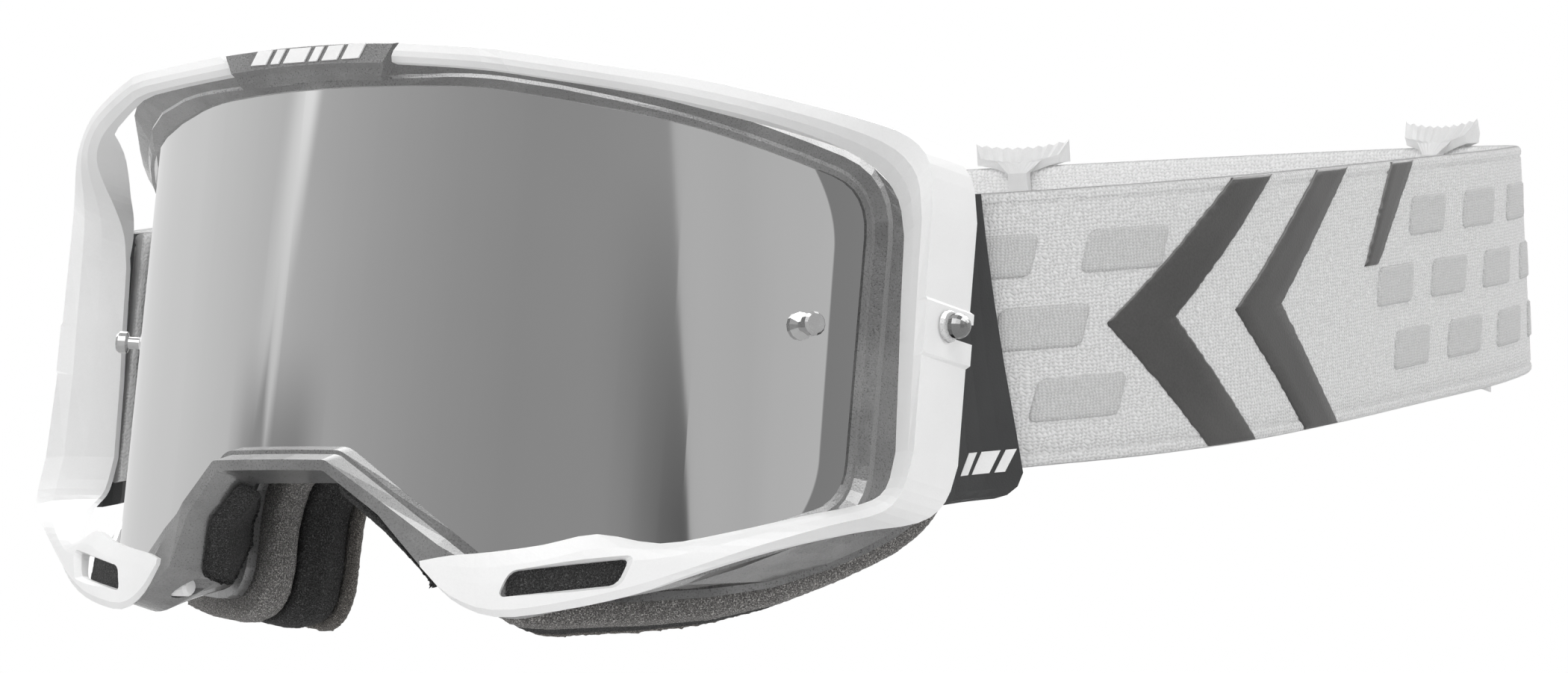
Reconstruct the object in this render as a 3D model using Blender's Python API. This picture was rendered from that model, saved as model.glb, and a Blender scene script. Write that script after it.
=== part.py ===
"""Off-road motorcycle goggles: a bent lens in a flexible frame, two outriggers and a head strap.

Front is -Y, up is +Z and the wearer's left is +X. The origin is the middle of the face seal.
"""

import math

import bmesh
import bpy
import numpy as np

# Fits
CLEARANCE = 0.0003
SMOOTH_ANGLE = math.radians(34)

# Lens: a sheet bent round a vertical axis; arcs are measured along the bend
LENS_RADIUS = 0.0760
LENS_FRONT = 0.0550
LENS_THICKNESS = 0.0009
LENS_SEAT_DEPTH = 0.0030
LENS_HALF_ARC = 0.0940
LENS_TOP = 0.0332
LENS_BOTTOM = 0.0452
LENS_TOP_FLAT = 0.0270
LENS_SHOULDER_ARC = 0.0620
LENS_SHOULDER_DROP = 0.0036
LENS_CORNER_DROP = 0.0090
LENS_CORNER_RADIUS = 0.0090
LENS_OUTER_RISE = 0.0186
LENS_CHEEK_ARC = 0.0640
LENS_CHEEK_RISE = 0.0066
LENS_FOOT_ARC = 0.0395
NOSE_HALF_WIDTH = 0.0112
NOSE_TOP = 0.0254
LENS_COLUMNS = 30

# Lens retaining ring, moulded in one with the face frame
RING_LIP = 0.0014
RING_RIDGE = 0.0030
RING_WIDTH = 0.0046
RING_BACK_WIDTH = 0.0054
RING_HEIGHT = 0.0032
RING_BROW_RISE = 0.0058
RING_BROW_ARC = 0.0360
RING_BROW_SPREAD = 0.0180
RING_NOSE_RISE = 0.0042
RING_NOSE_SPREAD = 0.0200
RING_CHEEK_DROP = 0.0017
RING_CHEEK_ARC = 0.0480
RING_CHEEK_SPREAD = 0.0200
FRAME_WALL = 0.0022
FOOT_ARC = 0.0310
FOOT_SPREAD = 0.0070
FOOT_WIDTH = 0.0030
FOOT_DEPTH = 0.0070

# Face flange and foam, on a curved sheet shaped like a face
FACE_HALF_WIDTH = 0.0820
FACE_FRONT = 0.0360
FACE_SAG_DEPTH = 0.0506
FACE_TOP = 0.0370
FACE_BOTTOM = 0.0518
FACE_TOP_FLAT = 0.0260
FACE_SHOULDER = 0.0600
FACE_SHOULDER_DROP = 0.0040
FACE_CORNER_DROP = 0.0105
FACE_OUTER_RISE = 0.0228
FACE_CHEEK = 0.0600
FACE_CHEEK_RISE = 0.0048
FACE_NOSE_FOOT = 0.0215
FACE_NOSE_HALF = 0.0213
FACE_NOSE_TOP = 0.0250
FLANGE_WIDTH = 0.0120
FLANGE_TEMPLE_SHARE = 0.62
FLANGE_THICKNESS = 0.0018
FLANGE_EDGE_INSET = 0.28
WALL_FOOT_INSET = 0.40
FOAM_BASE = 0.0060
FOAM_MIDDLE = 0.0092
FOAM_FLEECE = 0.0028
FOAM_MARGIN = 0.0004
FOAM_BULGE = 0.0007

# Brow bridge between the two outriggers
BRIDGE_HALF_WIDTH = 0.0172
BRIDGE_TOP = 0.0393
BRIDGE_HEIGHT = 0.0058
BRIDGE_DEPTH = 0.0030
BRIDGE_END_SLANT = 0.55

# Outriggers: white half frames from the bridge over the temple to the cheek
OUTRIGGER_HALF_WIDTH = 0.0952
OUTRIGGER_TOP = 0.0387
OUTRIGGER_BOTTOM = 0.0512
BROW_FRONT = 0.0613
BROW_CORNER = 0.0360
BROW_BULGE = 0.0046
CHEEK_FRONT = 0.0550
CHEEK_CORNER = 0.0260
CHEEK_BULGE = 0.0048
TEMPLE_FRONT = 0.0080
BROW_LEVEL = 0.0250
CHEEK_LEVEL = 0.0350
OUTRIGGER_WALL = 0.0030
OUTRIGGER_THIN = 0.0010
OUTRIGGER_EDGE = 0.0008
INNER_CHAMFER = 0.0026
TEMPLE_ROUNDING = 0.0116
FLANK_WALL = 0.0016
SHOULDER_DEPTH = 0.0065
SHOULDER_WIDTH = 0.0700
SHOULDER_LEVEL = 0.0180
SHOULDER_RUN = 0.0140
CHEEK_SWELL = 0.0018
CHEEK_SWELL_START = 0.0340
CHEEK_SWELL_TOP = 0.0140
CHEEK_SWELL_RUN = 0.0160
TAB_HALF_HEIGHT = 0.0042
TAB_RAISE = 0.0008
TAB_STEP = 0.0005
SLOT_CENTRE = 0.0468
SLOT_HEIGHT = 0.0445
SLOT_LENGTH = 0.0180
SLOT_WIDTH = 0.0036
SLOT_RECESS = 0.0022
SLOT_CORNER = 0.0012
SLOT_MOUTH = 0.0040
SLOT_REACH = 0.0140
SLOT_SLOPE = math.radians(10)

# Temple pins, which carry the strap on both sides
PIN_SHARE = 0.56
PIN_RISE = 0.0009
PIN_BALL_RADIUS = 0.0021
PIN_STEM_RADIUS = 0.0011
PIN_NECK = 0.40
PIN_STAND_OFF = 0.0022
COLLAR_RADIUS = 0.0026
COLLAR_THICKNESS = 0.0007
NOTCH_RADIUS = 0.0016
NOTCH_MOUTH = 0.0060
NOTCH_REACH = 0.0048
NOTCH_RUN = 0.0110

# Tear-off posts on the lens and pegs under the cheeks
POST_INSET = 0.01176
POST_LENGTH = 0.0055
POST_BASE_RADIUS = 0.0023
POST_STEM_RADIUS = 0.00105
POST_HEAD_RADIUS = 0.00195
PEG_RADIUS = 0.0016
PEG_FORWARD = 0.0448
PEG_DROP = 0.0468
PEG_INNER = 0.0272
PEG_LENGTH = 0.0060

# Strap loop, in a plane that rises towards the back of the head
STRAP_RISE = math.radians(14.9)
STRAP_FRONT = 0.0116
STRAP_DROP = 0.0033
STRAP_WIDTH = 0.0450
STRAP_THICKNESS = 0.0022
STRAP_HALF_SPAN = 0.1225
STRAP_ROOT_INSET = 0.0118
STRAP_SWING = math.radians(4)
STRAP_REACH = 0.2350
STRAP_STEPS = 4
END_FADE = 0.0250
PLATE_THICKNESS = 0.0020
PLATE_START = -0.0053
PLATE_SETBACK = 0.0040
PLATE_TOP_LENGTH = 0.0111
PLATE_BOTTOM_LENGTH = 0.0181
PLATE_CORNER = 0.0050
PLATE_DROP = 0.0042
BACKING_THICKNESS = 0.0015
BACKING_LENGTH = 0.0150
BACKING_START = 0.0010

# Strap sliders
SLIDER_HEAD_WIDTH = 0.0235
SLIDER_BAR_WIDTH = 0.0048
SLIDER_HEAD_HEIGHT = 0.0050
SLIDER_WALL = 0.0018
SLIDER_HOLLOW = 0.0012
SLIDER_TEETH = 9
SLIDER_TOOTH = 0.0005
REAR_SLIDER_AT = -0.0120
SIDE_SLIDER_SHARE = 0.76735

# Vent foam on the outside of the frame wall and behind the cheek slots
FILTER_THICKNESS = 0.0016
SLOT_FILTER_DEPTH = 0.0021
SLOT_FILTER_OVERLAP = 0.0012

LENS_AXIS = LENS_RADIUS - LENS_FRONT
PIECES = {}


def clear_scene():
    """Start from an empty scene."""
    for item in list(bpy.data.objects):
        bpy.data.objects.remove(item, do_unlink=True)


def material(name, colour, roughness, metallic=0.0, alpha=1.0):
    """One Principled material with the finish seen on the real piece."""
    made = bpy.data.materials.new(name)
    made.use_nodes = True
    shader = made.node_tree.nodes["Principled BSDF"]
    shader.inputs["Base Color"].default_value = (*colour, 1.0)
    shader.inputs["Roughness"].default_value = roughness
    shader.inputs["Metallic"].default_value = metallic
    shader.inputs["Alpha"].default_value = alpha
    return made


def add_piece(name, points, faces, finish, origin=(0.0, 0.0, 0.0), parent=None):
    """Make one closed mesh object whose origin lies at the given world point."""
    mesh = bpy.data.meshes.new(name)
    local = np.asarray(points, dtype=float) - np.asarray(origin)
    mesh.from_pydata([tuple(point) for point in local], [], faces)
    shell = bmesh.new()
    shell.from_mesh(mesh)
    bmesh.ops.recalc_face_normals(shell, faces=shell.faces)
    shell.to_mesh(mesh)
    shell.free()
    mesh.shade_smooth()
    mesh.set_sharp_from_angle(angle=SMOOTH_ANGLE)
    mesh.materials.append(finish)
    piece = bpy.data.objects.new(name, mesh)
    bpy.context.scene.collection.objects.link(piece)
    if parent is not None:
        piece.parent = parent
        piece.location = np.asarray(origin) - np.asarray(parent.location)
    else:
        piece.location = origin
    PIECES[name] = piece
    return piece


def add_pivot(name, place):
    """An empty on a joint's axis."""
    pivot = bpy.data.objects.new(name, None)
    pivot.location = place
    pivot.empty_display_size = 0.01
    bpy.context.scene.collection.objects.link(pivot)
    return pivot


def sweep_faces(count, size, closed):
    """Quads between neighbouring sections, with end caps on an open sweep."""
    faces = []
    last = count if closed else count - 1
    for i in range(last):
        j = (i + 1) % count
        for k in range(size):
            m = (k + 1) % size
            faces.append((i * size + k, i * size + m, j * size + m, j * size + k))
    if not closed:
        faces.append(tuple(range(size)))
        faces.append(tuple((count - 1) * size + k for k in reversed(range(size))))
    return faces


def sweep(name, sections, finish, closed=False, origin=(0.0, 0.0, 0.0), parent=None):
    """A solid through a row of closed cross sections."""
    sections = np.asarray(sections, dtype=float)
    count, size = sections.shape[:2]
    faces = sweep_faces(count, size, closed)
    return add_piece(name, sections.reshape(-1, 3), faces, finish, origin, parent)


def slab(name, front, back, finish, origin=(0.0, 0.0, 0.0), parent=None):
    """A closed sheet between two grids of points with the same rows and columns."""
    front = np.asarray(front, dtype=float)
    rows, columns = front.shape[:2]
    sections = []
    for row in range(rows):
        sections.append(np.concatenate([front[row], np.asarray(back)[row][::-1]]))
    return sweep(name, sections, finish, False, origin, parent)


def turned(name, profile, base, axis, finish, origin=None, parent=None, sides=14):
    """A round piece: (radius, height) pairs turned about an axis, ends closed on the axis."""
    axis = np.asarray(axis, dtype=float) / np.linalg.norm(axis)
    side = np.cross(axis, (0.0, 0.0, 1.0))
    side = side / np.linalg.norm(side)
    other = np.cross(axis, side)
    points = []
    for radius, height in profile:
        for step in range(sides):
            angle = 2 * math.pi * step / sides
            spoke = math.cos(angle) * side + math.sin(angle) * other
            points.append(np.asarray(base) + axis * height + spoke * radius)
    faces = sweep_faces(len(profile), sides, False)
    return add_piece(name, points, faces, finish, base if origin is None else origin, parent)


def turned_ring(name, profile, base, axis, finish, origin=None, parent=None, sides=18):
    """A washer: a closed (radius, height) section turned about an axis."""
    axis = np.asarray(axis, dtype=float) / np.linalg.norm(axis)
    side = np.cross(axis, (0.0, 0.0, 1.0))
    side = side / np.linalg.norm(side)
    other = np.cross(axis, side)
    sections = []
    for step in range(sides):
        angle = 2 * math.pi * step / sides
        spoke = math.cos(angle) * side + math.sin(angle) * other
        sections.append([np.asarray(base) + axis * height + spoke * radius for radius, height in profile])
    return sweep(name, sections, finish, True, base if origin is None else origin, parent)


def smooth_curve(points, steps):
    """A smooth curve that passes through every given point."""
    points = np.asarray(points, dtype=float)
    first = 2 * points[0] - points[1]
    last = 2 * points[-1] - points[-2]
    padded = np.vstack([first, points, last])
    curve = []
    for i in range(1, len(padded) - 2):
        a, b, c, d = padded[i - 1:i + 3]
        for step in range(steps):
            t = step / steps
            curve.append(0.5 * (2 * b + (c - a) * t + (2 * a - 5 * b + 4 * c - d) * t ** 2
                                + (3 * b - a - 3 * c + d) * t ** 3))
    curve.append(points[-1])
    return np.array(curve)


# Outlines: corners of the right half, from the top middle clockwise to the nose
CORNER_STEPS = (4, 4, 7, 7, 4, 7, 6)
EDGE_STEPS = (2, 2, 2, 2, 1, 2)
NOSE_EDGE_STEPS = 2
TOP_EDGE_STEPS = 5


def lens_corners():
    """Corners of the seen lens as (arc, height, rounding)."""
    return [
        (LENS_TOP_FLAT, LENS_TOP, 0.090),
        (LENS_SHOULDER_ARC, LENS_TOP - LENS_SHOULDER_DROP, 0.150),
        (LENS_HALF_ARC, LENS_TOP - LENS_CORNER_DROP, LENS_CORNER_RADIUS),
        (LENS_HALF_ARC - 0.0008, LENS_OUTER_RISE - LENS_BOTTOM, LENS_CORNER_RADIUS),
        (LENS_CHEEK_ARC, LENS_CHEEK_RISE - LENS_BOTTOM, 0.060),
        (LENS_FOOT_ARC, -LENS_BOTTOM, 0.005),
        (NOSE_HALF_WIDTH, -NOSE_TOP, 0.0045),
    ]


def face_corners():
    """Corners of the face flange as (width, height, rounding)."""
    return [
        (FACE_TOP_FLAT, FACE_TOP, 0.060),
        (FACE_SHOULDER, FACE_TOP - FACE_SHOULDER_DROP, 0.050),
        (FACE_HALF_WIDTH, FACE_TOP - FACE_CORNER_DROP, 0.020),
        (FACE_HALF_WIDTH, FACE_OUTER_RISE - FACE_BOTTOM, 0.022),
        (FACE_CHEEK, FACE_CHEEK_RISE - FACE_BOTTOM, 0.050),
        (FACE_NOSE_FOOT, -FACE_BOTTOM, 0.010),
        (FACE_NOSE_HALF, -FACE_NOSE_TOP, 0.012),
    ]


def offset_corners(corners, distance):
    """Move every edge of a clockwise outline outwards; rounding follows."""
    places = np.array([corner[:2] for corner in corners])
    count = len(corners)
    moved = []
    for i in range(count):
        before = places[i] - places[i - 1]
        after = places[(i + 1) % count] - places[i]
        before = before / np.linalg.norm(before)
        after = after / np.linalg.norm(after)
        out_before = np.array((-before[1], before[0]))
        out_after = np.array((-after[1], after[0]))
        shift = (out_before + out_after) * distance / (1 + out_before @ out_after)
        turn = before[0] * after[1] - before[1] * after[0]
        radius = corners[i][2] + (distance if turn < 0 else -distance)
        moved.append((*(places[i] + shift), max(radius, 0.0015)))
    return moved


def outline(half, distance=0.0):
    """Points of a mirrored, rounded outline, the same number for every offset."""
    mirrored = [(-width, height, radius) for width, height, radius in reversed(half)]
    corners = offset_corners(half + mirrored, distance)
    places = np.array([corner[:2] for corner in corners])
    count = len(corners)
    corner_steps = CORNER_STEPS + CORNER_STEPS[::-1]
    edge_steps = EDGE_STEPS + (NOSE_EDGE_STEPS,) + EDGE_STEPS[::-1] + (TOP_EDGE_STEPS,)
    starts = []
    ends = []
    for i in range(count):
        back = places[i - 1] - places[i]
        ahead = places[(i + 1) % count] - places[i]
        long_back = np.linalg.norm(back)
        long_ahead = np.linalg.norm(ahead)
        straight = -(back @ ahead) / (long_back * long_ahead)
        half_turn = math.acos(max(-1.0, min(1.0, straight))) / 2
        reach = corners[i][2] * math.tan(half_turn)
        starts.append(places[i] + back / long_back * min(reach, 0.45 * long_back))
        ends.append(places[i] + ahead / long_ahead * min(reach, 0.45 * long_ahead))
    loop = []
    for i in range(count):
        for step in range(corner_steps[i]):
            t = step / (corner_steps[i] - 1)
            loop.append((1 - t) ** 2 * starts[i] + 2 * t * (1 - t) * places[i] + t ** 2 * ends[i])
        following = starts[(i + 1) % count]
        for step in range(1, edge_steps[i] + 1):
            t = step / (edge_steps[i] + 1)
            loop.append((1 - t) * ends[i] + t * following)
    return np.array(loop)


def on_lens(arc, height, lift):
    """A point at a lift in front of the bent lens sheet."""
    angle = arc / LENS_RADIUS
    reach = LENS_RADIUS + lift
    return np.array((reach * math.sin(angle), LENS_AXIS - reach * math.cos(angle), height))


def on_face(width, height, lift):
    """A point at a lift behind the curved flange sheet, towards the face."""
    slope = 2 * FACE_SAG_DEPTH * width / FACE_HALF_WIDTH ** 2
    long = math.hypot(slope, 1.0)
    depth = FACE_SAG_DEPTH * (width / FACE_HALF_WIDTH) ** 2 - FACE_FRONT
    return np.array((width - lift * slope / long, depth + lift / long, height))


def face_loop(inset, lift):
    """A rail round the face flange: inset 0 is its outer edge and 1 its inner edge."""
    outer = outline(face_corners())
    inner = outline(face_corners(), -FLANGE_WIDTH)
    rail = []
    for edge, inside in zip(outer, inner):
        temple = min(max((abs(edge[0]) / FACE_HALF_WIDTH - 0.60) / 0.28, 0.0), 1.0)
        narrow = 1 - (1 - FLANGE_TEMPLE_SHARE) * temple * temple * (3 - 2 * temple)
        width, height = edge + (inside - edge) * inset * narrow
        rail.append(on_face(width, height, lift))
    return np.array(rail)


def ring_height(arc, height):
    """How far the retaining ring stands in front of the lens round the outline."""
    arc = abs(arc)
    if height >= 0:
        return RING_HEIGHT + RING_BROW_RISE * math.exp(-((arc - RING_BROW_ARC) / RING_BROW_SPREAD) ** 2)
    nose = RING_NOSE_RISE / (1 + (arc / RING_NOSE_SPREAD) ** 6)
    cheek = RING_CHEEK_DROP / (1 + ((arc - RING_CHEEK_ARC) / RING_CHEEK_SPREAD) ** 8)
    return RING_HEIGHT + nose - cheek


def frame_rails():
    """Closed rails of the face frame, in order round its cross section."""
    base = outline(lens_corners())
    heights = np.array([ring_height(arc, height) for arc, height in base])
    groove = LENS_THICKNESS / 2 + CLEARANCE

    def lens_rail(distance, lifts, foot_width=0.0):
        loop = outline(lens_corners(), distance)
        wide = outline(lens_corners(), distance + foot_width)
        loop = loop + (wide - loop) * foot[:, None]
        return np.array([on_lens(arc, height, lift) for (arc, height), lift in zip(loop, lifts)])

    flat = np.ones(len(base))
    temple = np.clip((np.abs(base[:, 0]) / LENS_HALF_ARC - 0.72) / 0.20, 0.0, 1.0)
    foot = np.exp(-((np.abs(base[:, 0]) - FOOT_ARC) / FOOT_SPREAD) ** 2) * (base[:, 1] < -0.6 * LENS_BOTTOM)
    wall_lift = -0.0020 + 0.0036 * temple * temple * (3 - 2 * temple) - FOOT_DEPTH * foot
    flange_front = face_loop(1.0, -FLANGE_THICKNESS)
    wall_foot = face_loop(WALL_FOOT_INSET, -FLANGE_THICKNESS)
    inner_lip = lens_rail(0.0, flat * -(groove + FRAME_WALL))
    room = np.linalg.norm(flange_front - inner_lip, axis=1)
    share = np.clip((room - 0.012) / 0.010, 0.0, 1.0)[:, None]
    inner_foot = flange_front + (wall_foot - flange_front) * share * 0.4
    inner_foot = inner_foot + (inner_lip - flange_front) * (1 - share) * 0.12
    back = lens_rail(RING_BACK_WIDTH, wall_lift, FOOT_WIDTH)
    return {
        "lip_under": lens_rail(0.0, flat * groove),
        "lip": lens_rail(0.0, flat * RING_LIP),
        "rib": lens_rail(RING_RIDGE * 0.30, np.maximum(heights * 0.52, RING_LIP)),
        "valley": lens_rail(RING_RIDGE * 0.52, np.maximum(heights * 0.50, RING_LIP)),
        "ridge": lens_rail(RING_RIDGE, heights),
        "edge": lens_rail(RING_WIDTH, heights - 0.0006, FOOT_WIDTH),
        "back": back,
        "wall_middle": (back + wall_foot) / 2,
        "wall_foot": wall_foot,
        "flange_edge_front": face_loop(FLANGE_EDGE_INSET, -FLANGE_THICKNESS),
        "flange_edge_back": face_loop(FLANGE_EDGE_INSET, 0.0),
        "flange_inner_back": face_loop(1.0, 0.0),
        "flange_inner_front": flange_front,
        "inner_foot": inner_foot,
        "inner_lip": inner_lip,
        "groove_lip": lens_rail(0.0, flat * -groove),
        "groove_back": lens_rail(LENS_SEAT_DEPTH + CLEARANCE, flat * -groove),
        "groove_front": lens_rail(LENS_SEAT_DEPTH + CLEARANCE, flat * groove),
    }


def add_cutter(name, sections):
    """A hidden tool solid for a Boolean."""
    tool = sweep(name, sections, PAINTS["tool"])
    tool.hide_render = True
    tool.display_type = "WIRE"
    PIECES.pop(name)
    return tool


def cut(piece, tool):
    """Take the tool's solid out of a piece."""
    step = piece.modifiers.new("cut_" + tool.name, "BOOLEAN")
    step.operation = "DIFFERENCE"
    step.object = tool
    step.solver = "EXACT"


def peg_place(side):
    """Inner end and direction of a cheek peg."""
    return np.array((side * PEG_INNER, -PEG_FORWARD, -PEG_DROP)), np.array((side, 0.0, 0.0))


def round_section(centre, axis, radius, sides=14):
    """A circle of points across an axis."""
    side = np.cross(axis, (0.0, 0.0, 1.0))
    side = side / np.linalg.norm(side)
    other = np.cross(axis, side)
    circle = []
    for step in range(sides):
        angle = 2 * math.pi * step / sides
        circle.append(centre + radius * (math.cos(angle) * side + math.sin(angle) * other))
    return circle


def build_frame(rails):
    """The flexible frame: lens groove, ring, walls and face flange in one moulding."""
    sections = np.stack(list(rails.values()), axis=1)
    frame = sweep("face_frame", sections, PAINTS["frame"], closed=True)
    for side, word in SIDES:
        inner, axis = peg_place(side)
        sections = []
        for along in (-0.004, PEG_LENGTH + 0.002):
            sections.append(round_section(inner + axis * along, axis, PEG_RADIUS + CLEARANCE))
        cut(frame, add_cutter("peg_hole_" + word, sections))


def build_lens():
    """The lens sheet, its edge seated in the frame's groove."""
    loop = outline(lens_corners(), LENS_SEAT_DEPTH)
    reach = loop[:, 0].max()
    rightmost = int(np.argmax(loop[:, 0]))
    leftmost = int(np.argmin(loop[:, 0]))
    below = loop[rightmost:leftmost + 1][::-1]
    above = np.vstack([loop[leftmost:], loop[:rightmost + 1]])
    sections = []
    for step in range(-LENS_COLUMNS, LENS_COLUMNS + 1):
        arc = reach * math.sin(math.pi / 2 * step / LENS_COLUMNS)
        top = np.interp(arc, above[:, 0], above[:, 1])
        bottom = np.interp(arc, below[:, 0], below[:, 1])
        half = LENS_THICKNESS / 2
        corners = ((top, half), (top, -half), (bottom, -half), (bottom, half))
        sections.append([on_lens(arc, height, lift) for height, lift in corners])
    sweep("lens", sections, PAINTS["mirror"])


def build_lens_posts():
    """Turned posts that hold tear-off films in front of the lens."""
    for side, word in SIDES:
        angle = side * (LENS_HALF_ARC - POST_INSET) / LENS_RADIUS
        axis = np.array((math.sin(angle), -math.cos(angle), 0.0))
        base = on_lens(LENS_RADIUS * angle, 0.0, LENS_THICKNESS / 2 + CLEARANCE)
        profile = [
            (POST_BASE_RADIUS, 0.0),
            (POST_BASE_RADIUS, POST_LENGTH * 0.16),
            (POST_STEM_RADIUS, POST_LENGTH * 0.26),
            (POST_STEM_RADIUS, POST_LENGTH * 0.62),
            (POST_HEAD_RADIUS, POST_LENGTH * 0.68),
            (POST_HEAD_RADIUS, POST_LENGTH * 0.92),
            (POST_HEAD_RADIUS * 0.82, POST_LENGTH),
        ]
        turned("lens_post_" + word, profile, base, axis, PAINTS["post"])


def foam_layer(name, near, far, finish):
    """One foam ring on the flange, its sides swelling a little."""
    middle = (near + far) / 2
    margin = FOAM_MARGIN / FLANGE_WIDTH
    bulge = FOAM_BULGE / FLANGE_WIDTH
    profile = [
        (margin, near), (margin - bulge, middle), (margin + bulge, far),
        (1 - margin - bulge, far), (1 - margin + bulge, middle), (1 - margin, near),
    ]
    rails = [face_loop(inset, lift) for inset, lift in profile]
    sweep(name, np.stack(rails, axis=1), finish, closed=True)


def build_foam():
    """Three bonded layers from the flange to the face."""
    lift = 2 * CLEARANCE
    layers = (("foam_base", FOAM_BASE), ("foam_middle", FOAM_MIDDLE), ("foam_fleece", FOAM_FLEECE))
    for name, thickness in layers:
        foam_layer(name, lift, lift + thickness, PAINTS[name])
        lift += thickness + CLEARANCE


def between(rows):
    """Rows of points with three more rows put between each pair."""
    rows = np.array(rows)
    spots = np.linspace(0, len(rows) - 1, 4 * len(rows) - 3)
    first = np.minimum(spots.astype(int), len(rows) - 2)
    share = (spots - first)[:, None, None]
    return rows[first] * (1 - share) + rows[first + 1] * share


def wall_pad(name, rails, first, last, near, far, gap, ring_share=None):
    """A strip of vent foam laid on the outside of the frame wall, or bent over from the ring's side."""
    def facing(along, across, i):
        out = np.cross(along, across)
        out = out / np.linalg.norm(out)
        return out if out @ (rails["edge"][i] - rails["lip"][i]) > 0 else -out

    count = len(rails["back"])
    outer = []
    inner = []
    for i in [i % count for i in range(first, last + 1)]:
        along = rails["back"][(i + 1) % count] - rails["back"][i - 1]
        back = rails["back"][i]
        across = rails["wall_foot"][i] - back
        out = facing(along, across, i)
        row = [(back + across * share, out, 1.0) for share in np.linspace(near, far, 4)]
        if ring_share is not None:
            side = back - rails["edge"][i]
            side_out = facing(rails["edge"][(i + 1) % count] - rails["edge"][i - 1], side, i)
            middle = (out + side_out) / np.linalg.norm(out + side_out)
            thinner = ((ring_share, 0.35), ((ring_share + 0.86) / 2, 0.65), (0.86, 0.9))
            over = [(rails["edge"][i] + side * share, side_out, thin) for share, thin in thinner]
            row = over + [(back, middle, 1.0)] + row
        inner.append([point + way * gap * max(thin, 0.6) for point, way, thin in row])
        outer.append([
            point + way * (gap * max(thin, 0.6) + FILTER_THICKNESS * thin) for point, way, thin in row
        ])
    if ring_share is not None:
        outer, inner = between(outer), between(inner)
    slab(name, outer, inner, PAINTS["filter"])


def corner_index(corner):
    """Index of the middle point of a corner on the right half of an outline."""
    before = sum(CORNER_STEPS[:corner]) + sum(EDGE_STEPS[:corner])
    return before + CORNER_STEPS[corner] // 2


def build_filters(rails):
    """Vent foam: over the brow, behind the cheek slots and beside the nose."""
    count = len(rails["back"])
    gap = CLEARANCE * 2.5
    shoulder = corner_index(1)
    wall_pad("brow_filter", rails, -shoulder - TOP_EDGE_STEPS - 1, shoulder, 0.20, 0.85, gap)
    nose = (corner_index(5) + 4, corner_index(6) - 3)
    mirror = count - 1 - TOP_EDGE_STEPS
    wall_pad("nose_filter_left", rails, *nose, 0.20, 0.80, gap, 0.56)
    wall_pad("nose_filter_right", rails, mirror - nose[1], mirror - nose[0], 0.20, 0.80, gap, 0.56)
    centre, along, across, out = slot_frame()
    for side, word in SIDES:
        sheets = []
        for thickness in (0.0, FILTER_THICKNESS):
            sheet = []
            for high in np.linspace(-1, 1, 4):
                row = []
                for share in np.linspace(0, 1, 9):
                    spot = (2 * share - 1) * (SLOT_LENGTH / 2 + SLOT_FILTER_OVERLAP)
                    place = centre + across * high * (SLOT_WIDTH / 2 + SLOT_FILTER_OVERLAP) + along * spot
                    place[1] = outrigger_front(place[0], place[2])
                    place[1] += cheek_swell(place[0], place[2])[1]
                    depth = SLOT_FILTER_DEPTH * (1 + 0.4 * share) + thickness * (0.4 + 0.6 * share)
                    row.append((place - out * depth) * (side, 1.0, 1.0))
                sheet.append(row)
            sheets.append(sheet)
        slab("cheek_filter_" + word, *sheets, PAINTS["filter"])


def build_bridge():
    """The block between the outriggers, with a face and a stepped lower lip."""
    rear = LENS_FRONT + ring_height(0.0, LENS_TOP) + CLEARANCE
    profile = [
        (0.00, 0.06), (0.30, 0.00), (0.62, 0.12), (0.70, 0.30),
        (1.00, 0.40), (0.92, 0.94), (0.62, 1.00), (0.00, 1.00),
    ]
    sections = []
    for step in np.linspace(-1, 1, 11):
        section = []
        for depth, rise in profile:
            width = BRIDGE_HALF_WIDTH - (1 - rise) * BRIDGE_HEIGHT * BRIDGE_END_SLANT
            height = BRIDGE_TOP - (1 - rise) * BRIDGE_HEIGHT - 0.0006 * step ** 2
            section.append((step * width, -(rear + depth * BRIDGE_DEPTH), height))
        sections.append(section)
    sweep("brow_bridge", sections, PAINTS["frame"])


# Outrigger stations from the bridge to the cheek tip: outer width and height,
# inner width and height as shares of the half width, top and bottom, temple rounding, stoutness
ARM_STATIONS = [
    (0.193, 1.000, 0.166, 0.925, 0.0, 0.60),
    (0.294, 0.972, 0.284, 0.894, 0.0, 0.60),
    (0.389, 0.946, 0.399, 0.860, 0.0, 0.75),
    (0.525, 0.920, 0.525, 0.837, 0.0, 1.0),
    (0.651, 0.904, 0.625, 0.809, 0.0, 1.0),
    (0.777, 0.863, 0.720, 0.775, 0.10, 1.0),
    (0.882, 0.822, 0.790, 0.729, 0.35, 1.0),
    (0.951, 0.780, 0.832, 0.661, 0.65, 1.0),
    (0.989, 0.685, 0.848, 0.556, 0.90, 1.0),
    (1.000, 0.500, 0.852, 0.410, 1.00, 1.0),
]
CHEEK_STATIONS = [
    (0.996, -0.400, 0.850, -0.370, 1.00, 1.0),
    (0.983, -0.520, 0.842, -0.490, 0.95, 1.0),
    (0.950, -0.598, 0.824, -0.550, 0.75, 1.0),
    (0.872, -0.652, 0.767, -0.611, 0.45, 1.0),
    (0.765, -0.735, 0.690, -0.688, 0.15, 1.0),
    (0.668, -0.825, 0.610, -0.742, 0.0, 1.0),
    (0.588, -0.906, 0.525, -0.729, 0.0, 0.80),
    (0.489, -0.969, 0.452, -0.773, 0.0, 0.55),
    (0.394, -1.000, 0.378, -0.805, 0.0, 0.30),
    (0.326, -0.955, 0.320, -0.824, 0.0, 0.12),
    (0.279, -0.865, 0.277, -0.846, 0.0, 0.0),
]


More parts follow.
